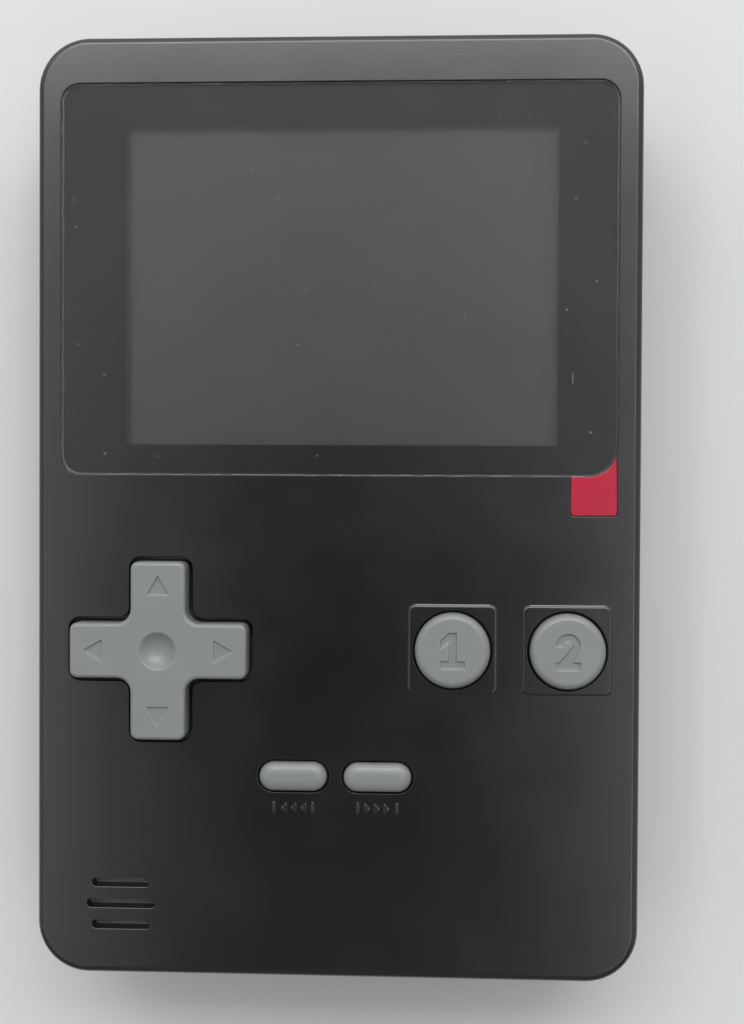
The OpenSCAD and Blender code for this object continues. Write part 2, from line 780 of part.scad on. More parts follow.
// Openings in the face
module front_openings() {
    translate([0, 0, pocket_floor_z]) linear_extrude(body_t) lens_outline(lens_gap);
    translate([0, 0, body_t - tab_t]) linear_extrude(body_t) tab_outline(tab_gap);
    translate([window_x, window_y, 0]) {
        block(
            [-window_w / 2 - window_room, -window_h / 2 - window_room, inner_z - over],
            [window_w / 2 + window_room, window_h / 2 + window_room, body_t + over]
        );
    }
    translate([dpad_x, dpad_y, inner_z - over]) linear_extrude(face_wall + 2 * over) {
        cross_outline(
            dpad_span + 2 * dpad_gap, dpad_arm + 2 * dpad_gap, dpad_tip_r + dpad_gap, dpad_root_r - dpad_gap
        );
    }
    for (x = button_xs) {
        translate([x, button_y, 0]) {
            translate([0, 0, inner_z - over]) {
                cylinder(h = face_wall + plate_rise + 2 * over, d = button_d + 2 * button_gap);
            }
            translate([0, 0, inner_z - collar_h - over]) {
                cylinder(h = collar_h + over, d = button_flange_d + 2 * collar_gap);
            }
            key_reach = button_flange_d / 2 + collar_gap + collar_wall + over;
            block(
                [-key_w / 2 - collar_gap, 0, inner_z - collar_h - over],
                [key_w / 2 + collar_gap, key_reach, inner_z]
            );
        }
    }
    for (x = pill_xs) {
        translate([x, pill_y, inner_z - over]) linear_extrude(face_wall + 2 * over) {
            pill_outline(pill_l + 2 * button_gap, pill_w + 2 * button_gap);
        }
    }
    for (i = [-1:1]) {
        translate([grille_x, grille_y + i * slot_pitch, inner_z - over]) {
            linear_extrude(face_wall + 2 * over) pill_outline(slot_l - abs(i) * slot_step, slot_w);
        }
    }
}

// Holes and seats inside the front case
module front_bores() {
    translate([grille_x, speaker_y, inner_z - ring_h - over]) {
        cylinder(h = ring_h + over, d = speaker_d + 2 * ring_gap);
    }
    for (p = screw_points) {
        translate([p[0], p[1], joint_z - over]) {
            cylinder(h = thread_l + 3 * over, d = screw_d + 2 * screw_gap);
        }
    }
    for (side = [-1, 1], y = post_ys) {
        translate([side * post_x, y, board_top - over]) {
            cylinder(h = board_screw_l - board_t + 2 * over, d = board_screw_d + 2 * screw_gap);
        }
    }
}

// Pocket and slot for the power knob in the right-hand wall
module knob_opening() {
    block(
        [knob_pocket_x, switch_y - knob_pocket_l / 2, knob_z - knob_pocket_h / 2],
        [body_w / 2 + over, switch_y + knob_pocket_l / 2, knob_z + knob_pocket_h / 2]
    );
    slot_l = knob_stem_l + switch_travel + 2 * knob_slot_gap;
    slot_h = knob_stem_h + 2 * knob_slot_gap;
    block(
        [inner_x - over, switch_y - slot_l / 2, knob_z - slot_h / 2],
        [knob_pocket_x + over, switch_y + slot_l / 2, knob_z + slot_h / 2]
    );
}

module rear_slab() {
    translate([0, 0, joint_z]) mirror([0, 0, 1]) soft_slab(body_w, body_l, corner_r, joint_z, rear_edge_r);
}

module rear_case() {
    color(case_black) difference() {
        union() {
            difference() {
                rear_slab();
                inner_space(rear_wall, joint_z + over);
            }
            difference() {
                lip_space(lip_t, joint_z - lip_h, joint_z + lip_h);
                inner_space(joint_z - lip_h - over, joint_z + lip_h + over);
            }
            block(
                [-door_frame_w, -inner_l / 2 - over, rear_wall - over],
                [door_frame_w, door_high_y + tongue_w + door_gap + bay_wall, door_frame_t]
            );
            block(
                [-bay_w / 2 - bay_wall, bay_low_y - bay_wall, rear_wall - over],
                [bay_w / 2 + bay_wall, bay_high_y + bay_wall, bay_ceiling_z + bay_wall]
            );
            for (p = screw_points) {
                translate([p[0], p[1], rear_wall - over]) {
                    cylinder(h = joint_z - rear_wall + over, r = rear_boss_r);
                }
            }
        }
        block([-bay_w / 2, bay_low_y, -over], [bay_w / 2, bay_high_y, bay_ceiling_z]);
        door_opening();
        for (p = screw_points) {
            translate([p[0], p[1], -over]) {
                cylinder(h = screw_sink + over, d = screw_head_d + 2 * screw_head_gap);
                cylinder(h = joint_z + 2 * over, d = screw_d + 2 * screw_gap);
            }
        }
        solder_slot(-1, cell_ys[0]);
        solder_slot(1, cell_ys[2]);
    }
}

// Way for the door and its tongues, open at the lower end
module door_opening() {
    low = -body_l / 2 - over;
    side = door_w / 2 + door_gap;
    tongue_side = side + tongue_w;
    tongue_z = door_t - tongue_t - door_gap;
    block([-side, low, -over], [side, door_high_y + door_gap, groove_z]);
    block([-tongue_side, low, tongue_z], [tongue_side, door_high_y + tongue_w + door_gap, groove_z]);
}

// Slot in the bay's end wall for a contact's solder tab
module solder_slot(side, y) {
    gap = solder_tab_gap;
    translate([side * (bay_w / 2 + bay_wall / 2), y, cell_z]) {
        cube([bay_wall + 2 * over, solder_tab_w + 2 * gap, contact_t + 2 * gap], center = true);
    }
}

module battery_door() {
    low = -body_l / 2 - over;
    color(case_black) difference() {
        intersection() {
            union() {
                block([-door_w / 2, low, -over], [door_w / 2, door_high_y, door_t]);
                block(
                    [-door_w / 2 - tongue_w, low, door_t - tongue_t],
                    [door_w / 2 + tongue_w, door_high_y + tongue_w, door_t]
                );
            }
            rear_slab();
        }
        for (i = [0:grip_grooves - 1]) {
            translate([0, grip_from_end - body_l / 2 + i * grip_pitch, -over]) {
                linear_extrude(grip_depth + over) pill_outline(grip_l, grip_w);
            }
        }
    }
}

// Screen

module screen_lens() {
    color(glass_dark) translate([0, 0, film_top_z]) linear_extrude(lens_t) lens_outline(0);
}

module border_film() {
    color(film_black) translate([0, 0, pocket_floor_z]) linear_extrude(film_t) difference() {
        lens_outline(-film_inset);
        translate([window_x, window_y]) square([window_w, window_h], center = true);
    }
}

module accent_tab() {
    color(tab_red) difference() {
        translate([0, 0, body_t - tab_t]) linear_extrude(tab_t) tab_outline(0);
        translate([0, 0, pocket_floor_z - over]) linear_extrude(body_t) lens_outline(lens_gap);
    }
}

module display_glass() {
    rear_t = lcd_t / 2;
    color(glass_dark) translate([lcd_x, window_y, 0]) {
        block([-lcd_w / 2, -lcd_h / 2, backlight_top_z], [lcd_w / 2, lcd_h / 2, backlight_top_z + rear_t]);
        block(
            [-lcd_w / 2, -lcd_h / 2, backlight_top_z + rear_t],
            [lcd_w / 2 - lcd_ledge, lcd_h / 2, display_top_z]
        );
    }
}

module display_backlight() {
    w = lcd_w - lcd_ledge - 2 * backlight_border;
    h = lcd_h - 2 * backlight_border;
    color(nylon_white) translate([lcd_x - lcd_ledge / 2, window_y, 0]) {
        round_plate(w, h, backlight_border, cushion_top_z, backlight_top_z);
    }
}

module display_gasket() {
    w = window_w + 2 * window_room;
    h = window_h + 2 * window_room;
    color(foam_black) translate([window_x, window_y, display_top_z]) linear_extrude(gasket_t) difference() {
        square([w + gasket_w, h + gasket_w], center = true);
        square([w, h], center = true);
    }
}

module display_cushion() {
    w = lcd_w - lcd_ledge - 2 * cushion_border;
    h = lcd_h - 2 * cushion_border;
    color(foam_black) translate([lcd_x - lcd_ledge / 2, window_y, 0]) {
        round_plate(w, h, backlight_border, board_top, cushion_top_z);
    }
}

// Flexible connector: under the glass's ledge, round a half turn and back onto the board
module display_flex() {
    ledge_x = lcd_x + lcd_w / 2;
    bend_x = ledge_x - lcd_ledge / 2;
    bend_r = (backlight_top_z - board_top) / 2;
    color(copper_amber) translate([0, window_y, 0]) {
        block(
            [ledge_x - lcd_ledge + seat_gap, -flex_w / 2, backlight_top_z - flex_t],
            [bend_x, flex_w / 2, backlight_top_z]
        );
        block(
            [ledge_x - 2 * lcd_ledge, -flex_w / 2, board_top],
            [bend_x, flex_w / 2, board_top + flex_t]
        );
        translate([bend_x, 0, board_top + bend_r]) rotate([90, 0, 0]) {
            linear_extrude(flex_w, center = true) difference() {
                circle(bend_r);
                circle(bend_r - flex_t);
                translate([-2 * bend_r, -bend_r]) square(2 * bend_r);
            }
        }
    }
}

// Board

module main_board() {
    color(board_green) difference() {
        translate([0, (board_low_y + board_high_y) / 2, 0]) {
            round_plate(board_w, board_high_y - board_low_y, board_corner_r, board_z, board_top);
        }
        for (side = [-1, 1], y = post_ys) {
            translate([side * post_x, y, board_z - over]) {
                cylinder(h = board_t + 2 * over, d = board_screw_d + 2 * screw_gap);
            }
        }
    }
}

// Low dome of epoxy over the chip, on the back of the board
module chip_drop() {
    dome_r = (drop_d * drop_d / 4 + drop_h * drop_h) / (2 * drop_h);
    dome_fn = 240;
    color(film_black) translate([drop_x, drop_y, board_z]) intersection() {
        translate([0, 0, dome_r - drop_h]) sphere(dome_r, $fn = dome_fn);
        translate([-drop_d, -drop_d, -drop_d]) cube([2 * drop_d, 2 * drop_d, drop_d]);
    }
}

module board_components() {
    color(steel) {
        for (x = capacitor_xs) {
            translate([x, capacitor_y, board_z - capacitor_h]) cylinder(h = capacitor_h, r = capacitor_r);
        }
        translate([memory_place[0], drop_y + memory_place[1], board_z - memory_size[2] / 2]) {
            cube(memory_size, center = true);
        }
        translate([crystal_place[0], drop_y + crystal_place[1], board_z - crystal_size[2]]) {
            linear_extrude(crystal_size[2]) pill_outline(crystal_size[0], crystal_size[1]);
        }
    }
}

// Pan-head screw with a cross recess, standing on its head's seat at the origin with the shank up
module screw(shank_d, head_d, head_h, length) {
    difference() {
        union() {
            translate([0, 0, -head_h]) cylinder(h = head_h, d = head_d);
            cylinder(h = length, d = shank_d);
        }
        for (turn = [0, 90]) {
            rotate(turn) translate([0, 0, -head_h]) {
                cube([head_d - slot_cut_w, slot_cut_w, head_h], center = true);
            }
        }
    }
}

module board_screws() {
    color(steel) for (side = [-1, 1], y = post_ys) {
        translate([side * post_x, y, board_z]) {
            screw(board_screw_d, board_screw_head_d, board_screw_head_h, board_screw_l);
        }
    }
}

module case_screws() {
    color(steel) for (p = screw_points) {
        translate([p[0], p[1], screw_sink]) screw(screw_d, screw_head_d, screw_head_h, screw_l);
    }
}

// Controls

module direction_pad() {
    dish_r = (dish_d * dish_d / 4 + dish_depth * dish_depth) / (2 * dish_depth);
    top_z = body_t + dpad_rise;
    color(key_grey) translate([dpad_x, dpad_y, 0]) difference() {
        union() {
            translate([0, 0, key_base_z]) {
                soft_cross(dpad_span, dpad_arm, dpad_tip_r, dpad_root_r, top_z - key_base_z, dpad_edge_r);
                linear_extrude(dpad_flange_t) cross_outline(
                    dpad_span + 2 * dpad_flange_w, dpad_arm + 2 * dpad_flange_w,
                    dpad_tip_r + dpad_flange_w, dpad_root_r - dpad_flange_w
                );
            }
            translate([0, 0, pivot_z]) cylinder(h = key_base_z - pivot_z + over, r = pivot_r);
            translate([0, 0, pivot_z]) sphere(pivot_r);
        }
        translate([0, 0, top_z - dish_depth + dish_r]) sphere(dish_r);
        for (turn = [0:90:270]) {
            rotate(turn) translate([0, 0, top_z - mark_depth]) linear_extrude(2 * mark_depth) polygon([
                [arrow_start, -arrow_base / 2], [arrow_start + arrow_h, 0], [arrow_start, arrow_base / 2]
            ]);
        }
    }
}

// Carbon pills on both sides of the pad's middle, along X turned by an angle
module pad_contacts(turn) {
    color(carbon) translate([dpad_x, dpad_y, board_top + dpad_contact_gap]) {
        for (side = [0, 180]) {
            rotate(turn + side) translate([dpad_dome_reach, 0, 0]) {
                cylinder(h = contact_pill_t, r = contact_r);
            }
        }
    }
}

module up_down_contacts() {
    pad_contacts(90);
}

module left_right_contacts() {
    pad_contacts(0);
}

// Hollow silicone dome on the board, with room for a contact pill whose top is at the given height
module dome(pill_top) {
    difference() {
        union() {
            cylinder(h = dome_h - dome_room, r1 = dome_foot_r, r2 = dome_top_r);
            cylinder(h = dome_h, r = dome_top_r - over);
        }
        translate([0, 0, -over]) cylinder(h = pill_top + over, r = contact_r + seat_gap);
    }
}

// Way through a membrane's sheet under a dome
module dome_way() {
    translate([0, 0, -over]) cylinder(h = sheet_t + 2 * over, r = contact_r + seat_gap);
}

module direction_membrane() {
    size = 2 * (dpad_dome_reach + dome_foot_r + sheet_rim);
    color(silicone_white) translate([dpad_x, dpad_y, board_top]) {
        difference() {
            linear_extrude(sheet_t) cross_outline(size, size / 2, sheet_rim, sheet_rim);
            cylinder(h = 3 * sheet_t, r = pivot_r + dome_room, center = true);
            for (turn = [0:90:270]) {
                rotate(turn) translate([dpad_dome_reach, 0, 0]) dome_way();
            }
        }
        for (turn = [0:90:270]) {
            rotate(turn) translate([dpad_dome_reach, 0, 0]) dome(dpad_contact_gap + contact_pill_t);
        }
    }
}

// Sheet under a row of two press buttons, with a dome below each
module press_membrane(xs, y) {
    size = 2 * (dome_foot_r + sheet_rim);
    color(silicone_white) translate([0, y, board_top]) {
        difference() {
            translate([(xs[0] + xs[1]) / 2, 0, 0]) linear_extrude(sheet_t) {
                round_rect(xs[1] - xs[0] + size, size, sheet_rim);
            }
            for (x = xs) {
                translate([x, 0, 0]) dome_way();
            }
        }
        for (x = xs) {
            translate([x, 0, 0]) dome(contact_top);
        }
    }
}

module action_membrane() {
    press_membrane(button_xs, button_y);
}

module menu_membrane() {
    press_membrane(pill_xs, pill_y);
}

module press_contact(x, y) {
    color(carbon) translate([x, y, board_top + contact_top - contact_pill_t]) {
        cylinder(h = contact_pill_t, r = contact_r);
    }
}

module contact_one() {
    press_contact(button_xs[0], button_y);
}

module contact_two() {
    press_contact(button_xs[1], button_y);
}

module reset_contact() {
    press_contact(pill_xs[0], pill_y);
}

module start_contact() {
    press_contact(pill_xs[1], pill_y);
}

// Outline of a plain figure 1
module digit_one() {
    s = digit_stroke;
    h = digit_h;
    foot = digit_w / 2;
    translate([-s / 2, -h / 2]) square([s, h]);
    translate([-foot, -h / 2]) square([digit_w, s]);
    polygon([[0, h / 2], [-s / 2, h / 2], [-foot, h / 2 - s], [-foot, h / 2 - 2 * s], [0, h / 2 - s]]);
}

// Outline of a plain figure 2
module digit_two() {
    s = digit_stroke;
    h = digit_h;
    r = digit_w / 2;
    top = h / 2 - r;
    translate([0, top]) difference() {
        circle(r);
        circle(r - s);
        translate([-2 * r, -2 * r]) square([4 * r, 2 * r]);
    }
    polygon([[r - s, top], [r, top], [2 * s - r, s / 2 - h / 2], [-r, s / 2 - h / 2]]);
    translate([-r, -h / 2]) square([digit_w, s]);
}

// Round button with a keyed flange; its number is sunk in the top
module round_button(x) {
    top_z = body_t + button_rise;
    flange_z = inner_z - seat_gap - button_flange_t;
    color(key_grey) translate([x, button_y, 0]) difference() {
        union() {
            translate([0, 0, key_base_z]) rotate_extrude() {
                edge_section(button_d / 2, top_z - key_base_z, button_edge_r);
            }
            translate([0, 0, flange_z]) cylinder(h = button_flange_t, d = button_flange_d);
            block(
                [-key_w / 2, 0, flange_z],
                [key_w / 2, button_flange_d / 2 + key_l, flange_z + button_flange_t]
            );
        }
        translate([0, 0, top_z - mark_depth]) linear_extrude(2 * mark_depth) children();
    }
}

module button_one() {
    round_button(button_xs[0]) digit_one();
}

module button_two() {
    round_button(button_xs[1]) digit_two();
}

// Pill button with its flange below the face
module pill_button(x) {
    top_z = body_t + pill_rise;
    flange_z = inner_z - seat_gap - button_flange_t;
    wide = 2 * button_flange_w;
    color(key_grey) translate([x, pill_y, 0]) {
        translate([0, 0, key_base_z]) soft_pill(pill_l, pill_w, top_z - key_base_z, pill_edge_r);
        translate([0, 0, flange_z]) {
            linear_extrude(button_flange_t) pill_outline(pill_l + wide, pill_w + wide);
        }
    }
}

module reset_button() {
    pill_button(pill_xs[0]);
}

module start_button() {
    pill_button(pill_xs[1]);
}

// Speaker

module speaker_frame() {
    r = speaker_d / 2;
    color(steel) translate([grille_x, speaker_y, speaker_back_z]) difference() {
        cylinder(h = speaker_h, r = r);
        translate([0, 0, speaker_h - cone_drop]) cylinder(h = speaker_h, r = r - speaker_rim + seat_gap);
        translate([0, 0, magnet_t]) cylinder(h = speaker_h, r = r - speaker_rim);
        translate([0, 0, -over]) cylinder(h = speaker_h, d = magnet_d + 2 * seat_gap);
    }
}

module speaker_cone() {
    r = speaker_d / 2 - speaker_rim - seat_gap / 2;
    dome_r = r / 2;
    cone_z = speaker_top_z - cone_drop - cone_t;
    color(carbon) translate([grille_x, speaker_y, cone_z]) rotate_extrude() {
        polygon([
            [0, 0], [dome_r, -cone_t], [r, 0], [r, cone_t], [dome_r, 0], [0, cone_t]
        ]);
    }
}

module speaker_magnet() {
    color(steel) translate([grille_x, speaker_y, speaker_back_z]) cylinder(h = magnet_t, d = magnet_d);
}

module speaker_gasket() {
    color(foam_black) translate([grille_x, speaker_y, speaker_top_z]) linear_extrude(gasket_t) difference() {
        circle(speaker_d / 2);
        circle(speaker_d / 2 - speaker_rim);
    }
}

module speaker_leads() {
    route = concat([speaker_lead_start], speaker_lead_middle, [speaker_lead_end]);
    color(lead_red) for (i = [0, 1]) {
        tube([for (p = route) p + i * speaker_lead_step], lead_d / 2, lead_sides, lead_up);
    }
}

// Power switch

module power_switch() {
    mouth_l = actuator_w + switch_travel + 2 * slide_gap;
    mouth_h = actuator_w + 2 * slide_gap;
    color(steel) difference() {
        block(
            [switch_front_x - switch_d, switch_y - switch_l / 2, board_z - switch_h],
            [switch_front_x, switch_y + switch_l / 2, board_z]
        );
        block(
            [switch_front_x - switch_mouth_d, switch_y - mouth_l / 2, knob_z - mouth_h / 2],
            [switch_front_x + over, switch_y + mouth_l / 2, knob_z + mouth_h / 2]
        );
    }
}

module switch_actuator() {
    half = actuator_w / 2;
    color(nylon_white) block(
        [switch_front_x - switch_mouth_d + slide_gap, knob_off_y - half, knob_z - half],
        [inner_x + pocket_depth, knob_off_y + half, knob_z + half]
    );
}

// Knob: keeper plate inside the wall, stem through the slot and a ridged pad in the pocket
module power_knob() {
    keeper_x = inner_x - slide_gap - knob_keeper_t;
    pad_x = knob_pocket_x + slide_gap;
    ridge_x = body_w / 2 - seat_gap;
    socket = actuator_w / 2 + seat_gap;
    color(case_black) difference() {
        translate([0, knob_off_y, knob_z]) {
            block(
                [keeper_x, -knob_keeper_l / 2, -knob_keeper_h / 2],
                [inner_x - slide_gap, knob_keeper_l / 2, knob_keeper_h / 2]
            );
            block(
                [inner_x - slide_gap - over, -knob_stem_l / 2, -knob_stem_h / 2],
                [pad_x + over, knob_stem_l / 2, knob_stem_h / 2]
            );
            block([pad_x, -knob_l / 2, -knob_h / 2], [ridge_x - knob_ridge_h, knob_l / 2, knob_h / 2]);
            ridge_step = (knob_l - knob_ridge_w) / (knob_ridges - 1);
            for (i = [0:knob_ridges - 1]) {
                y = -knob_l / 2 + i * ridge_step;
                block([pad_x, y, -knob_h / 2], [ridge_x, y + knob_ridge_w, knob_h / 2]);
            }
        }
        block(
            [keeper_x - over, knob_off_y - socket, knob_z - socket],
            [inner_x + pocket_depth + seat_gap, knob_off_y + socket, knob_z + socket]
        );
    }
}

// Power

// One cell with its raised terminal towards the given side
module cell(index, side) {
    r = cell_d / 2;
    can_l = cell_l - nub_h;
    plus_x = bay_w / 2 - contact_t - seat_gap;
    color(cell_sleeve) translate([side * (plus_x - cell_l), cell_ys[index], cell_z]) {
        rotate([0, side * 90, 0]) rotate_extrude() {
            edge_section(r, can_l, cell_shoulder_r);
            square([nub_d / 2, cell_l]);
        }
    }
}

module cell_lower() {
    cell(0, 1);
}

module cell_middle() {
    cell(1, -1);
}

module cell_upper() {
    cell(2, 1);
}

// Flat contact against the end wall, from one cell to another, with a solder tab where a lead leaves
module contact_plate(side, first, last) {
    x = side * (bay_w / 2 - contact_t / 2);
    low = cell_ys[first] - contact_w / 2;
    high = cell_ys[last] + contact_w / 2;
    translate([x, (low + high) / 2, plate_low_z + contact_w / 2]) {
        cube([contact_t, high - low, contact_w], center = true);
    }
    if (first == last) {
        tab_l = bay_wall + solder_tab_l;
        translate([side * (bay_w / 2 + tab_l / 2 - over), cell_ys[first], cell_z]) {
            cube([tab_l + 2 * over, solder_tab_w, contact_t], center = true);
        }
    }
}

module contact_plates() {
    color(steel) {
        contact_plate(-1, 0, 0);
        contact_plate(1, 0, 1);
        contact_plate(-1, 1, 2);
        contact_plate(1, 2, 2);
    }
}

spring_rings = 8;
spring_sides = 6;
spring_steps = spring_turns * spring_rings;
// Centre line of a spring that stands on its plate at the origin and narrows along +X
spring_line = [
    for (i = [0:spring_steps])
        let (
            part = i / spring_steps,
            turn = 360 * i / spring_rings,
            r = spring_foot_r + (spring_tip_r - spring_foot_r) * part,
            reach = spring_l - spring_wire - 2 * seat_gap
        )
        [spring_wire / 2 + seat_gap + part * reach, r * cos(turn), r * sin(turn)]
];
// Least gap of a spring to itself, measured on its points at least half a turn apart
spring_self_gap = min([
    for (i = [0:spring_steps], j = [0:spring_steps])
        if (j - i > spring_rings / 2) norm(spring_line[i] - spring_line[j]) - spring_wire
]);
echo(spring_self_gap = spring_self_gap);

module battery_springs() {
    spring_up = [1, 0, 0];
    sides = [-1, 1, -1];
    color(steel) for (i = [0:cell_count - 1]) {
        translate([sides[i] * (bay_w / 2 - contact_t), cell_ys[i], cell_z]) {
            rotate([0, 0, sides[i] < 0 ? 0 : 180]) {
                tube(spring_line, spring_wire / 2, spring_sides, spring_up);
            }
        }
    }
}

module battery_leads() {
    color(lead_red) {
        tube(lead_minus, lead_d / 2, lead_sides, lead_up);
        tube(lead_plus, lead_d / 2, lead_sides, lead_up);
    }
}

front_case();
rear_case();
battery_door();
screen_lens();
border_film();
accent_tab();
display_glass();
display_backlight();
display_gasket();
display_cushion();
display_flex();
main_board();
chip_drop();
board_components();
board_screws();
case_screws();
direction_pad();
up_down_contacts();
left_right_contacts();
direction_membrane();
button_one();
button_two();
contact_one();
contact_two();
action_membrane();
reset_button();
start_button();
reset_contact();
start_contact();
menu_membrane();
speaker_frame();
speaker_cone();
speaker_magnet();
speaker_gasket();
speaker_leads();
power_switch();
switch_actuator();
power_knob();
cell_lower();
cell_middle();
cell_upper();
contact_plates();
battery_springs();
battery_leads();
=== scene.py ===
"""Looks of a handheld game console, dressed over its packed construction.

Each sub-assembly is a class that finishes its own pieces. It welds and softens a copy of a solid, or
grows a piece from a geometry tree, gives the piece a finish and seats it on the body that carries it.
Sizes in the classes are millimetres, and Blender's own lengths are metres.
"""
import json
import logging
import math
from abc import ABC, abstractmethod
from collections import defaultdict
from collections.abc import Callable, Iterable, Iterator
from contextlib import contextmanager
from dataclasses import asdict, dataclass, field
from enum import Enum
from functools import cache, partial
from typing import Any, ClassVar

import bmesh
import bpy
from mathutils import Matrix, Vector


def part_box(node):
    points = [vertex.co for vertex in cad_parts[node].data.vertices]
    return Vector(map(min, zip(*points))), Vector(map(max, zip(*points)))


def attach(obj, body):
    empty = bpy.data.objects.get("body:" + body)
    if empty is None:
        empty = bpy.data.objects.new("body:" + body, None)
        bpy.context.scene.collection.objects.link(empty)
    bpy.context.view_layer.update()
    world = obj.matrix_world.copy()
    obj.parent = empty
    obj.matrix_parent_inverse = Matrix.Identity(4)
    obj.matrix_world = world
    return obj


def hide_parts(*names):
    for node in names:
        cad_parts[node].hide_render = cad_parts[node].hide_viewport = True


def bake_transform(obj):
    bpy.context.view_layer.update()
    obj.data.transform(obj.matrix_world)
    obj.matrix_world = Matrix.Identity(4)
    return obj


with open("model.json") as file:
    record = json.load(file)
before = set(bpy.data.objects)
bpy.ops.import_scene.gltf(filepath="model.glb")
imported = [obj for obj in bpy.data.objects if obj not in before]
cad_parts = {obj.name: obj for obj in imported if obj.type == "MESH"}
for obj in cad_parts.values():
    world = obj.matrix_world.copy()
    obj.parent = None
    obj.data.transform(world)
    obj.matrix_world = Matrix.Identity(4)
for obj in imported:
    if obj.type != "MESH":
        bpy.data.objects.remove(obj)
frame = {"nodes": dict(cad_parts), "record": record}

Flat = tuple[float, float]
Point = tuple[float, float, float]
Tree = bpy.types.NodeTree
Socket = bpy.types.NodeSocket
Outputs = bpy.types.NodeOutputs
Sizes = dict[str, Socket]
Piece = bpy.types.Object

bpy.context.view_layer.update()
MM = 0.001
ROOT_BODY = "case"
NODE_BODY: dict[str, str] = {
    node: body for body, nodes in frame["record"]["behaviour"]["bodies"].items() for node in nodes
}
# A Mix node's sockets for colours.
MIX_A, MIX_B, MIXED = 6, 7, 2
# Stretches of a noise pattern's values: nearly all of them, and its middle.
NEARLY_ALL = {"From Min": 0.3, "From Max": 0.7}
MIDDLE = {"From Min": 0.35, "From Max": 0.65}
log = logging.getLogger("console")


class Slot(Enum):
    """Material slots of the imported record."""

    CASE = "case_plastic"
    KEY = "key_plastic"
    TAB = "tab_plastic"
    LENS = "lens_acrylic"
    INK = "border_ink"
    PANEL = "display_glass"
    LIGHT_GUIDE = "backlight_plastic"
    FOAM = "foam"
    FLEX = "flex_film"
    BOARD = "board_laminate"
    EPOXY = "chip_epoxy"
    PARTS = "component_metal"
    SCREW = "screw_steel"
    CONTACT = "contact_steel"
    BASKET = "speaker_steel"
    MAGNET = "magnet_ferrite"
    CONE = "cone_film"
    SILICONE = "silicone"
    CARBON = "carbon_rubber"
    NYLON = "nylon"
    LEAD = "lead_pvc"
    CELL = "cell_sleeve"


def linear(colour: str) -> tuple[float, float, float, float]:
    """Turn an sRGB hex colour into linear light.

    Args:
        colour: six hex digits after a hash sign.

    Returns:
        Red, green, blue and alpha.
    """
    channels = [int(colour[i : i + 2], 16) / 255 for i in (1, 3, 5)]
    light = [c / 12.92 if c <= 0.04045 else ((c + 0.055) / 1.055) ** 2.4 for c in channels]
    return (light[0], light[1], light[2], 1.0)


def per_metre(size: float) -> float:
    """Pattern scale that gives features of a size in millimetres."""
    return 1 / (size * MM)


def add_node(tree: Tree, kind: str, inputs: dict[str | int, Any] | None = None, **settings: Any) -> Outputs:
    """Add a node with its settings, and link or set its inputs.

    Args:
        tree: the tree that gets the node.
        kind: Blender's name of the node type.
        inputs: for each input, a socket or a list of sockets to link, or a value to set.
        settings: the node's own properties.

    Returns:
        The node's outputs.
    """
    node = tree.nodes.new(kind)
    for name, value in settings.items():
        setattr(node, name, value)
    for key, value in (inputs or {}).items():
        for item in value if isinstance(value, list) else [value]:
            if isinstance(item, Socket):
                tree.links.new(item, node.inputs[key])
            else:
                node.inputs[key].default_value = item
    return node.outputs


def add_object(name: str, data: bpy.types.ID) -> Piece:
    """Add an object to the scene.

    Args:
        name: its name.
        data: its mesh, light or camera.

    Returns:
        The object.
    """
    thing = bpy.data.objects.new(name, data)
    bpy.context.scene.collection.objects.link(thing)
    return thing


@contextmanager
def edited(source: bpy.types.Mesh, result: bpy.types.Mesh | None = None) -> Iterator[bmesh.types.BMesh]:
    """Open a mesh for editing, and write it back.

    Args:
        source: the mesh.
        result: another mesh that gets the result, so that the source stays as it was.

    Yields:
        The mesh that is edited.
    """
    shape = bmesh.new()
    shape.from_mesh(source)
    yield shape
    shape.to_mesh(result or source)
    shape.free()


@cache
def node_box(node: str) -> tuple[Vector, Vector]:
    """A solid's lowest and highest corners, in millimetres."""
    low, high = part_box(node)
    return Vector(low) / MM, Vector(high) / MM


def between(tree: Tree, place: Socket, axis: str, start: float, end: float) -> Socket:
    """Mask a stretch of a piece along an axis.

    Args:
        tree: the material's tree.
        place: coordinates on the piece.
        axis: the axis.
        start: one end of the stretch.
        end: its other end.

    Returns:
        1 inside the stretch and 0 outside.
    """
    along = add_node(tree, "ShaderNodeSeparateXYZ", {0: place})[axis]
    middle = (start + end) / 2 * MM
    half = abs(end - start) / 2 * MM
    return add_node(tree, "ShaderNodeMath", {0: along, 1: middle, 2: half}, operation="COMPARE")[0]


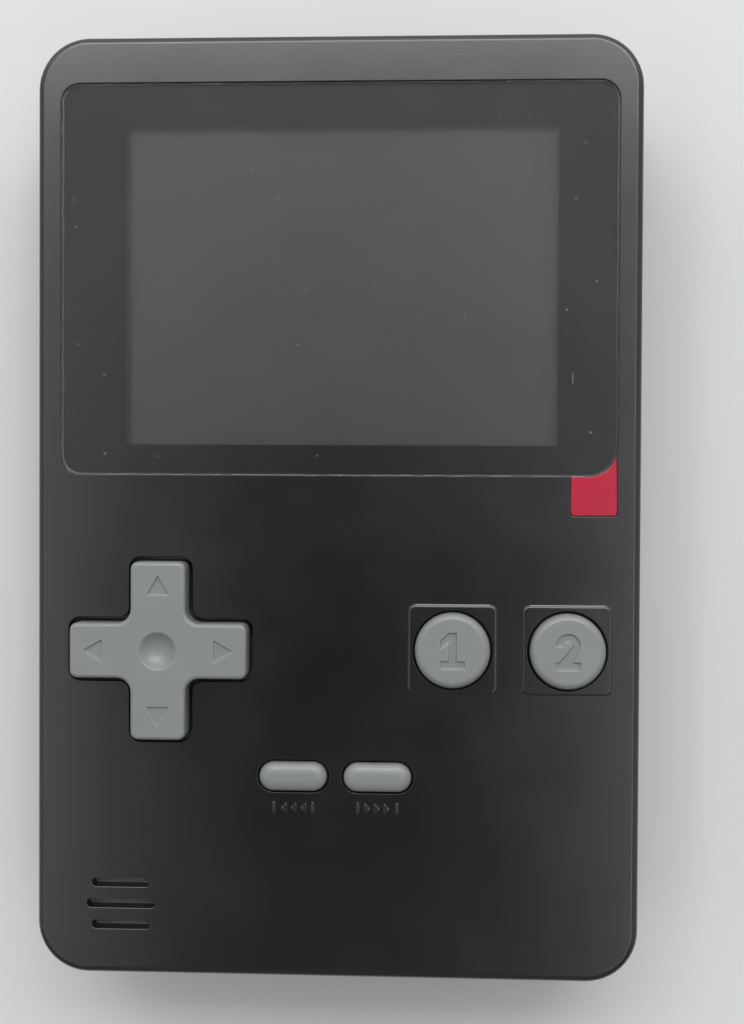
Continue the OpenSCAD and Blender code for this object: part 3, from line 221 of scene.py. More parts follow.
@dataclass(frozen=True)
class Finish:
    """A real material and the way its surface was made.

    Attributes:
        name: what the material is and how it was made.
        slot: the record's material slot, or none on the stage; not used.
        colour: main colour.
        tint: colour that soft patches are multiplied by.
        worn: colour of rubbed edges.
        roughness: middle of the surface's roughness.
        spread: drift of the roughness either way.
        ior: index of refraction.
        metallic: 1 for a metal.
        patch: size of the soft patches.
        grain: size of the surface grain.
        depth: depth of the surface grain.
        wear: reach of the rubbed band along an edge.
        buffed: roughness of rubbed edges.
    """

    name: str
    slot: Slot | None
    colour: str
    tint: str
    worn: str
    roughness: float = 0.45
    spread: float = 0.05
    ior: float = 1.5
    metallic: float = 0.0
    patch: float = 6.0
    grain: float = 0.3
    depth: float = 0.004
    wear: float = 0.25
    buffed: float = 0.3

    @cache
    def material(self) -> bpy.types.Material:
        """Make the material once.

        Returns:
            The node material.
        """
        material = bpy.data.materials.new(self.name)
        material.use_nodes = True
        tree = material.node_tree
        tree.nodes.clear()
        place = add_node(tree, "ShaderNodeTexCoord")["Object"]
        add_node(tree, "ShaderNodeOutputMaterial", {"Surface": self.shader(tree, place)})
        return material

    def pattern(self, tree: Tree, place: Socket) -> Any:
        """Colour before drift and wear: plain unless a finish draws something."""
        return linear(self.colour)

    def metal(self, tree: Tree, place: Socket) -> Any:
        """Share of bare metal: the same all over unless a finish draws something."""
        return self.metallic

    def patches(self, tree: Tree, place: Socket, detail: float) -> tuple[Socket, Socket]:
        """Spread soft patches over the surface.

        Args:
            tree: the material's tree.
            place: coordinates on the piece.
            detail: how finely the patches break up.

        Returns:
            The patches, and the roughness that drifts with them.
        """
        scale = per_metre(self.patch)
        drift = add_node(tree, "ShaderNodeTexNoise", {"Vector": place, "Scale": scale, "Detail": detail})[0]
        ends = {"To Min": self.roughness - self.spread, "To Max": self.roughness + self.spread}
        return drift, add_node(tree, "ShaderNodeMapRange", {"Value": drift, **NEARLY_ALL, **ends})[0]

    def shader(self, tree: Tree, place: Socket) -> Socket:
        """Build an opaque surface with patches, grain and rubbed edges.

        Args:
            tree: the material's tree.
            place: coordinates on the piece.

        Returns:
            The shader's output.
        """
        drift, gloss = self.patches(tree, place, detail=4.0)
        scale = per_metre(self.grain)
        grain = add_node(tree, "ShaderNodeTexNoise", {"Vector": place, "Scale": scale, "Detail": 2.0})[0]
        share = add_node(tree, "ShaderNodeMapRange", {"Value": drift, **MIDDLE})[0]
        rubbed = self.rubbed_edges(tree, drift)
        mixed = add_node(
            tree,
            "ShaderNodeMix",
            {0: share, MIX_A: self.pattern(tree, place), MIX_B: linear(self.tint)},
            data_type="RGBA",
            blend_type="MULTIPLY",
        )[MIXED]
        worn = {0: rubbed, MIX_A: mixed, MIX_B: linear(self.worn)}
        bump = {"Height": grain, "Distance": self.depth * MM}
        return add_node(
            tree,
            "ShaderNodeBsdfPrincipled",
            {
                "Base Color": add_node(tree, "ShaderNodeMix", worn, data_type="RGBA")[MIXED],
                "Roughness": add_node(tree, "ShaderNodeMix", {0: rubbed, 2: gloss, 3: self.buffed})[0],
                "Normal": add_node(tree, "ShaderNodeBump", bump)[0],
                "IOR": self.ior,
                "Metallic": self.metal(tree, place),
            },
        )[0]

    def rubbed_edges(self, tree: Tree, drift: Socket) -> Socket:
        """Mask the edges that hands and pockets rub.

        Args:
            tree: the material's tree.
            drift: soft patches that break the mask up.

        Returns:
            A mask from 0 to 1.
        """
        eased = add_node(tree, "ShaderNodeBevel", {"Radius": self.wear * MM}, samples=4)[0]
        true = add_node(tree, "ShaderNodeNewGeometry")["Normal"]
        both = {0: eased, 1: true}
        facing = add_node(tree, "ShaderNodeVectorMath", both, operation="DOT_PRODUCT")["Value"]
        turn = {"Value": facing, "From Min": 0.99, "From Max": 0.8}
        edge = add_node(tree, "ShaderNodeMapRange", turn)[0]
        gaps = {"Value": drift, "From Min": 0.35, "From Max": 0.55, "To Min": 0.5}
        broken = add_node(tree, "ShaderNodeMapRange", gaps)[0]
        return add_node(tree, "ShaderNodeMath", {0: edge, 1: broken}, operation="MULTIPLY")[0]


@dataclass(frozen=True)
class Mark:
    """One kind of mark on a clear pane.

    Attributes:
        spacing: spacing of the marks.
        radius: half a mark's width, as a share of the spacing.
        strength: share of the light that it scatters.
        turn: turn of a hairline.
        squeeze: how much the pattern is squeezed along a hairline.
    """

    spacing: float
    radius: float
    strength: float
    turn: float = 0.0
    squeeze: float = 1.0


@dataclass(frozen=True)
class ClearPane(Finish):
    """A clear polished sheet that lamps shine through.

    Attributes:
        dust: share of the light that an even film of dust scatters.
        dust_spread: share by which the film's strength drifts either way.
        marks: single specks of dust and hairline scratches.
        sparse: share of those marks that are left out.
    """

    dust: float = 0.003
    dust_spread: float = 0.15
    marks: tuple[Mark, ...] = (
        Mark(3.2, 0.05, 0.05), Mark(11.0, 0.011, 0.045, 0.9, 0.16), Mark(11.0, 0.009, 0.04, -0.5, 0.12),
    )
    sparse: float = 0.68

    def shader(self, tree: Tree, place: Socket) -> Socket:
        """Build clear acrylic with faint smears, dust and scratches.

        Args:
            tree: the material's tree.
            place: coordinates on the piece.

        Returns:
            The shader's output.
        """
        smear, gloss = self.patches(tree, place, detail=5.0)
        bump = {"Height": smear, "Distance": self.depth * MM}
        pane = add_node(
            tree,
            "ShaderNodeBsdfPrincipled",
            {
                "Base Color": linear(self.colour),
                "Roughness": gloss,
                "Normal": add_node(tree, "ShaderNodeBump", bump)[0],
                "IOR": self.ior,
                "Transmission Weight": 1.0,
            },
        )[0]
        film = add_node(tree, "ShaderNodeBsdfDiffuse", {"Color": linear(self.worn)})[0]
        marked = {0: self.scatter(tree, place, smear), 1: pane, 2: film}
        cloudy = add_node(tree, "ShaderNodeMixShader", marked)[0]
        lamp_light = add_node(tree, "ShaderNodeBsdfTransparent")[0]
        is_lamp = add_node(tree, "ShaderNodeLightPath")["Is Shadow Ray"]
        return add_node(tree, "ShaderNodeMixShader", {0: is_lamp, 1: cloudy, 2: lamp_light})[0]

    def scatter(self, tree: Tree, place: Socket, smear: Socket) -> Socket:
        """Add up the film of dust and the marks.

        Args:
            tree: the material's tree.
            place: coordinates on the piece.
            smear: soft patches that break the film up.

        Returns:
            The share of light that they scatter.
        """
        ends = {"To Min": self.dust * (1 - self.dust_spread), "To Max": self.dust * (1 + self.dust_spread)}
        total = add_node(tree, "ShaderNodeMapRange", {"Value": smear, **NEARLY_ALL, **ends})[0]
        for mark in self.marks:
            along = {"Vector": place, "Rotation": (0, 0, mark.turn), "Scale": (1, mark.squeeze, 1)}
            laid = add_node(tree, "ShaderNodeMapping", along)[0]
            cell = {"Vector": laid, "Scale": per_metre(mark.spacing)}
            cells = add_node(tree, "ShaderNodeTexVoronoi", cell, voronoi_dimensions="2D")
            reach = {"From Min": mark.radius, "From Max": mark.radius / 2, "To Max": mark.strength}
            spot = add_node(tree, "ShaderNodeMapRange", {"Value": cells["Distance"], **reach})[0]
            chosen = {0: cells["Color"], 1: self.sparse}
            kept = add_node(tree, "ShaderNodeMath", chosen, operation="GREATER_THAN")[0]
            some = add_node(tree, "ShaderNodeMath", {0: spot, 1: kept}, operation="MULTIPLY")[0]
            total = add_node(tree, "ShaderNodeMath", {0: total, 1: some}, operation="ADD")[0]
        return total


@dataclass(frozen=True)
class DisplayPanel(Finish):
    """An unlit display: grey picture area inside its black border.

    Attributes:
        border: colour of the black border.
        across: left and right edge of the picture area.
        along: its lower and upper edge.
        dot: spacing of the picture's dots, drawn three times as coarse so that it shows.
        dot_share: how much of the border's colour shows between the dots.
    """

    border: str = "#1a1b1b"
    across: Flat = (-23.7, 25.3)
    along: Flat = (6.6, 43.9)
    dot: float = 0.46
    dot_share: float = 0.05

    def pattern(self, tree: Tree, place: Socket) -> Any:
        """Draw the picture area, its dots and the border.

        Args:
            tree: the material's tree.
            place: coordinates on the piece.

        Returns:
            The colour.
        """
        across = between(tree, place, "X", *self.across)
        along = between(tree, place, "Y", *self.along)
        inside = add_node(tree, "ShaderNodeMath", {0: across, 1: along}, operation="MULTIPLY")[0]
        checks = {"Vector": place, "Scale": per_metre(self.dot)}
        dots = add_node(tree, "ShaderNodeTexChecker", checks)["Fac"]
        faint = add_node(tree, "ShaderNodeMapRange", {"Value": dots, "To Max": self.dot_share})[0]
        dotted = {0: faint, MIX_A: linear(self.colour), MIX_B: linear(self.border)}
        picture = add_node(tree, "ShaderNodeMix", dotted, data_type="RGBA")[MIXED]
        framed = {0: inside, MIX_A: linear(self.border), MIX_B: picture}
        return add_node(tree, "ShaderNodeMix", framed, data_type="RGBA")[MIXED]


@dataclass(frozen=True)
class CircuitLaminate(Finish):
    """Glass-fibre laminate with copper tracks under a solder mask.

    Attributes:
        track: colour of the mask over copper.
        run: length of a straight track.
        pitch: spacing of the tracks.
        line: width of a track.
    """

    track: str = "#2f7a50"
    run: float = 7.0
    pitch: float = 1.1
    line: float = 0.22

    def pattern(self, tree: Tree, place: Socket) -> Any:
        """Draw the tracks as a running bond of thin lines.

        Args:
            tree: the material's tree.
            place: coordinates on the piece.

        Returns:
            The colour.
        """
        mask = linear(self.colour)
        colours = {"Color1": mask, "Color2": mask, "Mortar": linear(self.track)}
        bond = {"Mortar Size": self.line / 2, "Brick Width": self.run, "Row Height": self.pitch}
        scale = per_metre(1.0)
        return add_node(tree, "ShaderNodeTexBrick", {"Vector": place, "Scale": scale, **colours, **bond})[0]


@dataclass(frozen=True)
class TrackedFilm(Finish):
    """Polyimide film with copper tracks in it.

    Attributes:
        track: colour of the film over copper.
        pitch: spacing of the tracks.
    """

    track: str = "#d9953f"
    pitch: float = 0.5

    def pattern(self, tree: Tree, place: Socket) -> Any:
        """Draw the tracks as bands along the film.

        Args:
            tree: the material's tree.
            place: coordinates on the piece.

        Returns:
            The colour.
        """
        waves = {"Vector": place, "Scale": math.pi / 10 * per_metre(self.pitch)}
        bands = add_node(tree, "ShaderNodeTexWave", waves, bands_direction="Y")["Fac"]
        striped = {0: bands, MIX_A: linear(self.colour), MIX_B: linear(self.track)}
        return add_node(tree, "ShaderNodeMix", striped, data_type="RGBA")[MIXED]


@dataclass(frozen=True)
class CellSleeve(Finish):
    """Shrunk sleeve of a cell, with a band at its raised terminal and bare steel ends.

    Attributes:
        band: colour of the band.
        steel: colour of the bare ends.
        side: 1 where the raised terminal is towards +X, or -1.
        sleeve_from: end of the sleeve at the flat terminal.
        band_from: start of the band.
        sleeve_to: end of the sleeve at the raised terminal.
    """

    band: str = "#c9ccd0"
    steel: str = "#b9bcc0"
    side: int = 1
    sleeve_from: float = -19.6
    band_from: float = 12.0
    sleeve_to: float = 23.0

    def wrapped(self, tree: Tree, place: Socket, start: float) -> Socket:
        """Mask of the sleeve from a place on to the raised terminal."""
        return between(tree, place, "X", self.side * start, self.side * self.sleeve_to)

    def pattern(self, tree: Tree, place: Socket) -> Any:
        """Draw the sleeve, its band and the bare ends.

        Args:
            tree: the material's tree.
            place: coordinates on the piece.

        Returns:
            The colour.
        """
        printed = {MIX_A: linear(self.colour), MIX_B: linear(self.band)}
        banded = {0: self.wrapped(tree, place, self.band_from), **printed}
        sleeve = add_node(tree, "ShaderNodeMix", banded, data_type="RGBA")[MIXED]
        whole = {0: self.wrapped(tree, place, self.sleeve_from), MIX_A: linear(self.steel), MIX_B: sleeve}
        return add_node(tree, "ShaderNodeMix", whole, data_type="RGBA")[MIXED]

    def metal(self, tree: Tree, place: Socket) -> Any:
        """Only the bare ends are metal."""
        sleeve = self.wrapped(tree, place, self.sleeve_from)
        return add_node(tree, "ShaderNodeMath", {0: 1.0, 1: sleeve}, operation="SUBTRACT")[0]


# Spark-eroded ABS: an even fine grain spreads highlights wide, and rubbed edges turn paler.
# The grain is drawn about twice as coarse as it is so that it shows.
CASE_ABS = Finish(
    "spark_eroded_black_abs", Slot.CASE, "#070808", "#d8d9da", "#28292a",
    roughness=0.22, spread=0.03, ior=1.58, patch=9.0, grain=0.28, depth=0.0035, wear=0.3, buffed=0.2,
)
# Satin moulded ABS: a smooth mid-grey skin with soft highlights on its rounded edges.
KEY_ABS = Finish(
    "satin_moulded_grey_abs", Slot.KEY, "#6d706d", "#f6f6f5", "#858a88",
    roughness=0.4, ior=1.53, patch=5.0, grain=0.35, depth=0.003, wear=0.3, buffed=0.25,
)
# Gloss moulded ABS: a clean saturated red with a tight sheen.
TAB_ABS = Finish(
    "gloss_moulded_red_abs", Slot.TAB, "#9c0629", "#f4f4f4", "#b05063",
    roughness=0.3, ior=1.4, patch=4.0, grain=0.4, depth=0.002, wear=0.15,
)
# Cast acrylic: clear and polished, with faint smears that break its reflections.
LENS_ACRYLIC = ClearPane(
    "polished_clear_acrylic", Slot.LENS, "#f6f8f8", "#ffffff", "#ffffff",
    roughness=0.04, spread=0.015, ior=1.49, patch=12.0, depth=0.0001,
)
# Screen-printed ink: a flat near-black, wetted to the lens so that it has no gloss of its own.
BORDER_INK = Finish(
    "screen_printed_black_ink", Slot.INK, "#08090a", "#e4e4e4", "#121314",
    roughness=0.5, spread=0.04, ior=1.06, patch=5.0, grain=0.5, depth=0.001, wear=0.1,
)
# Display glass under an anti-glare polariser: a dull olive grey.
PANEL_GLASS = DisplayPanel(
    "matt_polariser_over_glass", Slot.PANEL, "#2a2c27", "#f2f2f1", "#34362f",
    roughness=0.5, spread=0.04, ior=1.2, patch=14.0, grain=0.4, depth=0.001, wear=0.1,
)
# Moulded polycarbonate light guide: milky white.
LIGHT_GUIDE = Finish(
    "moulded_white_polycarbonate", Slot.LIGHT_GUIDE, "#e2e4e1", "#f0f2ee", "#f0f1ee",
    roughness=0.35, ior=1.585,
)
# Die-cut polyurethane foam: open dark pores and no gloss.
FOAM = Finish(
    "die_cut_black_foam", Slot.FOAM, "#29292b", "#c0c0c2", "#38383a",
    roughness=0.9, patch=2.0, grain=0.35, depth=0.08,
)
# Polyimide film: amber, with copper tracks that show through.
FLEX_FILM = TrackedFilm(
    "laminated_amber_polyimide", Slot.FLEX, "#a9672a", "#ece8e2", "#d9a05c", roughness=0.3, ior=1.7,
)
# Glass-fibre laminate: green solder mask, paler over the copper tracks.
BOARD_LAMINATE = CircuitLaminate(
    "solder_masked_glass_laminate", Slot.BOARD, "#1d5537", "#e6ece8", "#8f9a6a",
    roughness=0.32, ior=1.55, grain=0.4, depth=0.006,
)
# Poured epoxy: a glossy black drop with a slightly uneven skin.
EPOXY = Finish(
    "poured_black_epoxy", Slot.EPOXY, "#151517", "#c8c8cc", "#242428",
    roughness=0.18, spread=0.06, ior=1.55, patch=3.0, grain=1.5, depth=0.02,
)
# Tinned steel cans and terminals: bright and finely scuffed.
TINNED_STEEL = Finish(
    "tinned_pressed_steel", Slot.PARTS, "#b4b7ba", "#e2e4e6", "#d6d8da",
    roughness=0.3, spread=0.08, metallic=1.0, patch=2.0, grain=0.15,
)
# Zinc-plated screws: cool bright steel, dull in the recess.
SCREW_STEEL = Finish(
    "zinc_plated_steel", Slot.SCREW, "#9ea3a8", "#d0d4d8", "#cfd3d6",
    roughness=0.34, spread=0.1, metallic=1.0, patch=1.2, grain=0.12, depth=0.005, wear=0.12,
)
# Nickel-plated spring steel: bright drawn wire and strip.
CONTACT_STEEL = Finish(
    "nickel_plated_spring_steel", Slot.CONTACT, "#c2c0b8", "#e2e0da", "#dedcd4",
    roughness=0.26, spread=0.08, metallic=1.0, patch=2.5, grain=0.15, depth=0.003,
)
# Pressed steel basket of the speaker: dull zinc.
BASKET_STEEL = Finish(
    "pressed_zinc_steel", Slot.BASKET, "#8d9093", "#dcdee0", "#b4b7ba",
    roughness=0.42, spread=0.08, metallic=1.0, patch=2.0, grain=0.2, depth=0.006,
)
# Woven nylon thread: a fine grey gauze that hides what lies behind the grille.
GAUZE_NYLON = Finish(
    "woven_grey_nylon", Slot.NYLON, "#a3a4a3", "#e4e4e2", "#b4b5b4",
    roughness=0.6, spread=0.06, ior=1.53, patch=2.0, grain=0.2, depth=0.002, wear=0.02,
)
# Sintered ferrite: dark grey ceramic with a dry granular face.
FERRITE = Finish(
    "sintered_ferrite", Slot.MAGNET, "#363638", "#d0d0d2", "#4b4b4e",
    roughness=0.6, patch=1.5, grain=0.25, depth=0.02,
)
# Pressed polyester film: a thin dark diaphragm with a soft sheen.
CONE_FILM = Finish(
    "pressed_polyester_film", Slot.CONE, "#2a2b2e", "#d8d8da", "#3b3c40", roughness=0.35, ior=1.6,
)
# Moulded silicone: translucent white rubber with a soft waxy face.
SILICONE = Finish(
    "moulded_white_silicone", Slot.SILICONE, "#cfd0cc", "#eeefec", "#e2e3df",
    roughness=0.55, ior=1.41, patch=3.0, depth=0.01,
)
# Carbon-loaded rubber: matt black pills.
CARBON_RUBBER = Finish(
    "carbon_loaded_rubber", Slot.CARBON, "#242427", "#d0d0d2", "#333338",
    roughness=0.75, patch=1.0, grain=0.2, depth=0.01,
)
# Moulded nylon: warm white with a dry slip finish.
NYLON = Finish(
    "moulded_natural_nylon", Slot.NYLON, "#dcd9cf", "#eeece6", "#efece3", roughness=0.5, ior=1.53,
)
# Extruded PVC: a red jacket with a soft shine.
LEAD_PVC = Finish(
    "extruded_red_pvc", Slot.LEAD, "#a32626", "#e4dcdc", "#c04a4a", roughness=0.4, ior=1.54, grain=0.2,
)
# Shrunk PVC sleeves: dark blue with a pale band, one for each way a cell lies.
CELL_SLEEVES = {
    side: CellSleeve(
        f"shrunk_blue_pvc_{word}", Slot.CELL, "#34415f", "#e6e8ec", "#56627e",
        roughness=0.28, ior=1.54, patch=8.0, grain=0.6, side=side,
    )
    for side, word in ((1, "right"), (-1, "left"))
}
# Uncoated paper under the console: even white with a faint tooth.
PAPER = Finish(
    "uncoated_white_paper", None, "#bebfbe", "#fdfdfd", "#bebfbe",
    roughness=0.85, patch=40.0, grain=0.5, depth=0.01,
)


def seed_mesh(lines: Iterable[Iterable[Point | Vector]], aims: Iterable[Point] = ()) -> bpy.types.Mesh:
    """Make the lines, or single points, that a geometry tree grows from.

    Args:
        lines: the points of each line, in millimetres.
        aims: a direction for each point, or none.

    Returns:
        The mesh, with its directions in the attribute aim.
    """
    mesh = bpy.data.meshes.new("seeds")
    points: list[Vector] = []
    edges: list[tuple[int, int]] = []
    for line in lines:
        start = len(points)
        points += [Vector(point) * MM for point in line]
        edges += [(i, i + 1) for i in range(start, len(points) - 1)]
    mesh.from_pydata(points, edges, [])
    if aims:
        attribute = mesh.attributes.new("aim", "FLOAT_VECTOR", "POINT")
        attribute.data.foreach_set("vector", [c for aim in aims for c in aim])
    return mesh


@dataclass(frozen=True)
class Grower(ABC):
    """A geometry tree whose fields are its named size inputs, and steps that several trees share."""

    @abstractmethod
    def grow(self, tree: Tree, seeds: Socket, size: Sizes) -> Socket:
        """Add the nodes that make the shape.

        Args:
            tree: the geometry tree.
            seeds: the points or lines to grow from.
            size: the sockets of the named sizes.

        Returns:
            The grown geometry.
        """

    def sweep(self, tree: Tree, line: Socket, radius: Socket, sides: int) -> Socket:
        """Sweep a round section along lines.

        Args:
            tree: the geometry tree.
            line: the lines.
            radius: radius of the section.
            sides: facets round the section.

        Returns:
            The closed tubes.
        """
        circle = {"Resolution": sides, "Radius": radius}
        section = add_node(tree, "GeometryNodeCurvePrimitiveCircle", circle)[0]
        tube = {"Curve": line, "Profile Curve": section, "Fill Caps": True}
        return add_node(tree, "GeometryNodeCurveToMesh", tube)[0]

    def coil(self, tree: Tree, size: Sizes, foot: str, tip: str, steps: int, sides: int) -> Socket:
        """Wind a round wire into a coil of the sizes rise, pitch and wire_r.

        Args:
            tree: the geometry tree.
            size: the sockets of the named sizes.
            foot: the size that is the coil's radius at its foot.
            tip: the size that is its radius at its tip.
            steps: facets round a turn.
            sides: facets round the wire.

        Returns:
            The coil.
        """
        turns = add_node(tree, "ShaderNodeMath", {0: size["rise"], 1: size["pitch"]}, operation="DIVIDE")[0]
        spiral = {
            "Resolution": steps,
            "Rotations": turns,
            "Start Radius": size[foot],
            "End Radius": size[tip],
            "Height": size["rise"],
        }
        return self.sweep(tree, add_node(tree, "GeometryNodeCurveSpiral", spiral)[0], size["wire_r"], sides)

    def block(self, tree: Tree, *sides: Socket) -> Socket:
        """Make a block from its sizes along X, Y and Z."""
        corner = add_node(tree, "ShaderNodeCombineXYZ", dict(enumerate(sides)))[0]
        return add_node(tree, "GeometryNodeMeshCube", {"Size": corner})[0]

    def moved(self, tree: Tree, shape: Socket, axis: str, reach: Socket, turn: float = 0.0) -> Socket:
        """Move a shape along an axis and turn it about its own Z.

        Args:
            tree: the geometry tree.
            shape: the shape.
            axis: the axis.
            reach: how far.
            turn: the turn.

        Returns:
            The moved shape.
        """
        place = add_node(tree, "ShaderNodeCombineXYZ", {axis: reach})[0]
        change = {"Geometry": shape, "Translation": place, "Rotation": (0.0, 0.0, turn)}
        return add_node(tree, "GeometryNodeTransform", change)[0]

    def copies(self, tree: Tree, seeds: Socket, shape: Socket, axis: str) -> Socket:
        """Set a copy of a shape on each seed, along the seed's aim.

        Args:
            tree: the geometry tree.
            seeds: the points.
            shape: the shape.
            axis: the shape's axis that takes the aim.

        Returns:
            The instances.
        """
        aim = add_node(tree, "GeometryNodeInputNamedAttribute", {"Name": "aim"}, data_type="FLOAT_VECTOR")[0]
        turned = add_node(tree, "FunctionNodeAlignRotationToVector", {"Vector": aim}, axis=axis)[0]
        each = {"Points": seeds, "Instance": shape, "Rotation": turned}
        return add_node(tree, "GeometryNodeInstanceOnPoints", each)[0]

    def piece(self, name: str, seeds: bpy.types.Mesh, finish: Finish, tinned: Finish | None = None) -> Piece:
        """Grow a plain mesh piece.

        Args:
            name: name of the piece.
            seeds: the points or lines to grow from.
            finish: finish of the piece.
            tinned: finish of the faces that the tree marks as tinned.

        Returns:
            The piece, with no modifier left on it.
        """
        tree = bpy.data.node_groups.new(type(self).__name__, "GeometryNodeTree")
        face = tree.interface
        face.new_socket("Seeds", in_out="INPUT", socket_type="NodeSocketGeometry")
        face.new_socket("Grown", in_out="OUTPUT", socket_type="NodeSocketGeometry")
        named = {
            key: face.new_socket(key, in_out="INPUT", socket_type="NodeSocketFloat") for key in asdict(self)
        }
        ends = add_node(tree, "NodeGroupInput")
        size = {key: ends[key] for key in named}
        grown = {"Geometry": self.grow(tree, ends["Seeds"], size)}
        real = add_node(tree, "GeometryNodeRealizeInstances", grown)[0]
        dress = {"Geometry": real, "Material": finish.material()}
        shape = add_node(tree, "GeometryNodeSetMaterial", dress)[0]
        if tinned:
            tin = {"Name": "tinned"}
            mark = add_node(tree, "GeometryNodeInputNamedAttribute", tin, data_type="BOOLEAN")[0]
            dress = {"Geometry": shape, "Selection": mark, "Material": tinned.material()}
            shape = add_node(tree, "GeometryNodeSetMaterial", dress)[0]
        add_node(tree, "NodeGroupOutput", {0: shape})
        piece = add_object(name, seeds)
        modifier = piece.modifiers.new("grow", "NODES")
        modifier.node_group = tree
        for key, socket in named.items():
            modifier[socket.identifier] = getattr(self, key) * MM
        evaluated = piece.evaluated_get(bpy.context.evaluated_depsgraph_get())
        mesh = bpy.data.meshes.new_from_object(evaluated)
        piece.modifiers.clear()
        piece.data = mesh
        return piece


@dataclass(frozen=True)
class ScrewSet(Grower):
    """Pan-head screws with a cross recess and a coiled thread, heads down on their seats."""

    head_d: float
    head_h: float
    shank_d: float
    length: float
    pitch: float
    recess_w: float

    # Sizes of a screw's parts, each a share of a named size.
    shares: ClassVar[dict[str, tuple[str, float]]] = {
        "head_r": ("head_d", 0.5),
        "head_level": ("head_h", -0.5),
        "crown_r": ("head_d", 0.8),
        "bar_l": ("head_d", 0.62),
        "bar_h": ("head_h", 1.1),
        "bar_level": ("head_h", -1.0),
        "core_r": ("shank_d", 0.4),
        "core_l": ("length", 0.94),
        "core_level": ("length", 0.47),
        "wire_r": ("shank_d", 0.1),
        "rise": ("length", 0.9),
        "rise_level": ("length", 0.05),
    }

    def grow(self, tree: Tree, seeds: Socket, size: Sizes) -> Socket:
        """Add one screw's nodes and set a copy on each seed.

        Args:
            tree: the geometry tree.
            seeds: the seats of the heads.
            size: the sockets of the named sizes.

        Returns:
            The instances.
        """
        size |= {
            name: add_node(tree, "ShaderNodeMath", {0: size[whole], 1: share}, operation="MULTIPLY")[0]
            for name, (whole, share) in self.shares.items()
        }
        rest = {0: size["crown_r"], 1: size["head_h"]}
        size["crown_level"] = add_node(tree, "ShaderNodeMath", rest, operation="SUBTRACT")[0]
        rod = "GeometryNodeMeshCylinder"
        blank = add_node(tree, rod, {"Vertices": 40, "Radius": size["head_r"], "Depth": size["head_h"]})[0]
        core = add_node(tree, rod, {"Vertices": 24, "Radius": size["core_r"], "Depth": size["core_l"]})[0]
        sphere = {"Segments": 40, "Rings": 32, "Radius": size["crown_r"]}
        ball = add_node(tree, "GeometryNodeMeshUVSphere", sphere)[0]
        bar = self.block(tree, size["bar_l"], size["recess_w"], size["bar_h"])
        thread = self.coil(tree, size, "core_r", "core_r", steps=20, sides=4)
        seated = {
            name: self.moved(tree, shape, "Z", size[f"{name}_level"])
            for name, shape in {"head": blank, "crown": ball, "core": core, "rise": thread}.items()
        }
        recess = [self.moved(tree, bar, "Z", size["bar_level"], turn) for turn in (0.0, math.pi / 2)]
        crowned = {"Mesh 2": [seated["head"], seated["crown"]]}
        domed = add_node(tree, "GeometryNodeMeshBoolean", crowned, operation="INTERSECT", solver="EXACT")[0]
        crossed = {"Mesh 1": domed, "Mesh 2": recess, "Self Intersection": True}
        head = add_node(tree, "GeometryNodeMeshBoolean", crossed, operation="DIFFERENCE", solver="EXACT")[0]
        whole = {"Geometry": [head, seated["core"], seated["rise"]]}
        screw = add_node(tree, "GeometryNodeJoinGeometry", whole)[0]
        return add_node(tree, "GeometryNodeInstanceOnPoints", {"Points": seeds, "Instance": screw})[0]


@dataclass(frozen=True)
class SpringSet(Grower):
    """Narrowing coils of round wire that stand on their plates."""

    foot_r: float
    tip_r: float
    rise: float
    wire_r: float
    pitch: float

    def grow(self, tree: Tree, seeds: Socket, size: Sizes) -> Socket:
        """Set a coil on each first turn's middle, along its aim."""
        return self.copies(tree, seeds, self.coil(tree, size, "foot_r", "tip_r", steps=40, sides=12), "Z")


@dataclass(frozen=True)
class LeadRun(Grower):
    """Insulated leads or threads along smooth lines through their points."""

    radius: float
    step: float

    def grow(self, tree: Tree, seeds: Socket, size: Sizes) -> Socket:
        """Smooth each line and sweep a round section along it.

        Args:
            tree: the geometry tree.
            seeds: the lines.
            size: the sockets of the named sizes.

        Returns:
            The swept tubes.
        """
        line = {"Curve": add_node(tree, "GeometryNodeMeshToCurve", {"Mesh": seeds})[0]}
        smooth = add_node(tree, "GeometryNodeCurveSplineType", line, spline_type="CATMULL_ROM")[0]
        steps = {"Curve": smooth, "Length": size["step"]}
        even = add_node(tree, "GeometryNodeResampleCurve", steps, mode="LENGTH")[0]
        return self.sweep(tree, even, size["radius"], sides=14)


@dataclass(frozen=True)
class ChipSet(Grower):
    """Small soldered parts: a block with a tinned cap on each end."""

    length: float
    width: float
    height: float
    cap: float
    skin: float

    def grow(self, tree: Tree, seeds: Socket, size: Sizes) -> Socket:
        """Add one part's nodes and set a copy on each seed along its aim.

        Args:
            tree: the geometry tree.
            seeds: the middles of the parts.
            size: the sockets of the named sizes.

        Returns:
            The instances.
        """
        block = self.block(tree, size["length"], size["width"], size["height"])
        outer = [
            add_node(tree, "ShaderNodeMath", {0: size[side], 1: size["skin"]}, operation="ADD")[0]
            for side in ("width", "height")
        ]
        cap = self.block(tree, size["cap"], *outer)
        mark = {"Geometry": cap, "Name": "tinned", "Value": True}
        tin = add_node(tree, "GeometryNodeStoreNamedAttribute", mark, data_type="BOOLEAN", domain="FACE")[0]
        halves = [
            add_node(tree, "ShaderNodeMath", {0: size["length"], 1: half}, operation="MULTIPLY")[0]
            for half in (-0.5, 0.5)
        ]
        ends = [self.moved(tree, tin, "X", reach) for reach in halves]
        part = add_node(tree, "GeometryNodeJoinGeometry", {"Geometry": [block, *ends]})[0]
        return self.copies(tree, seeds, part, "X")


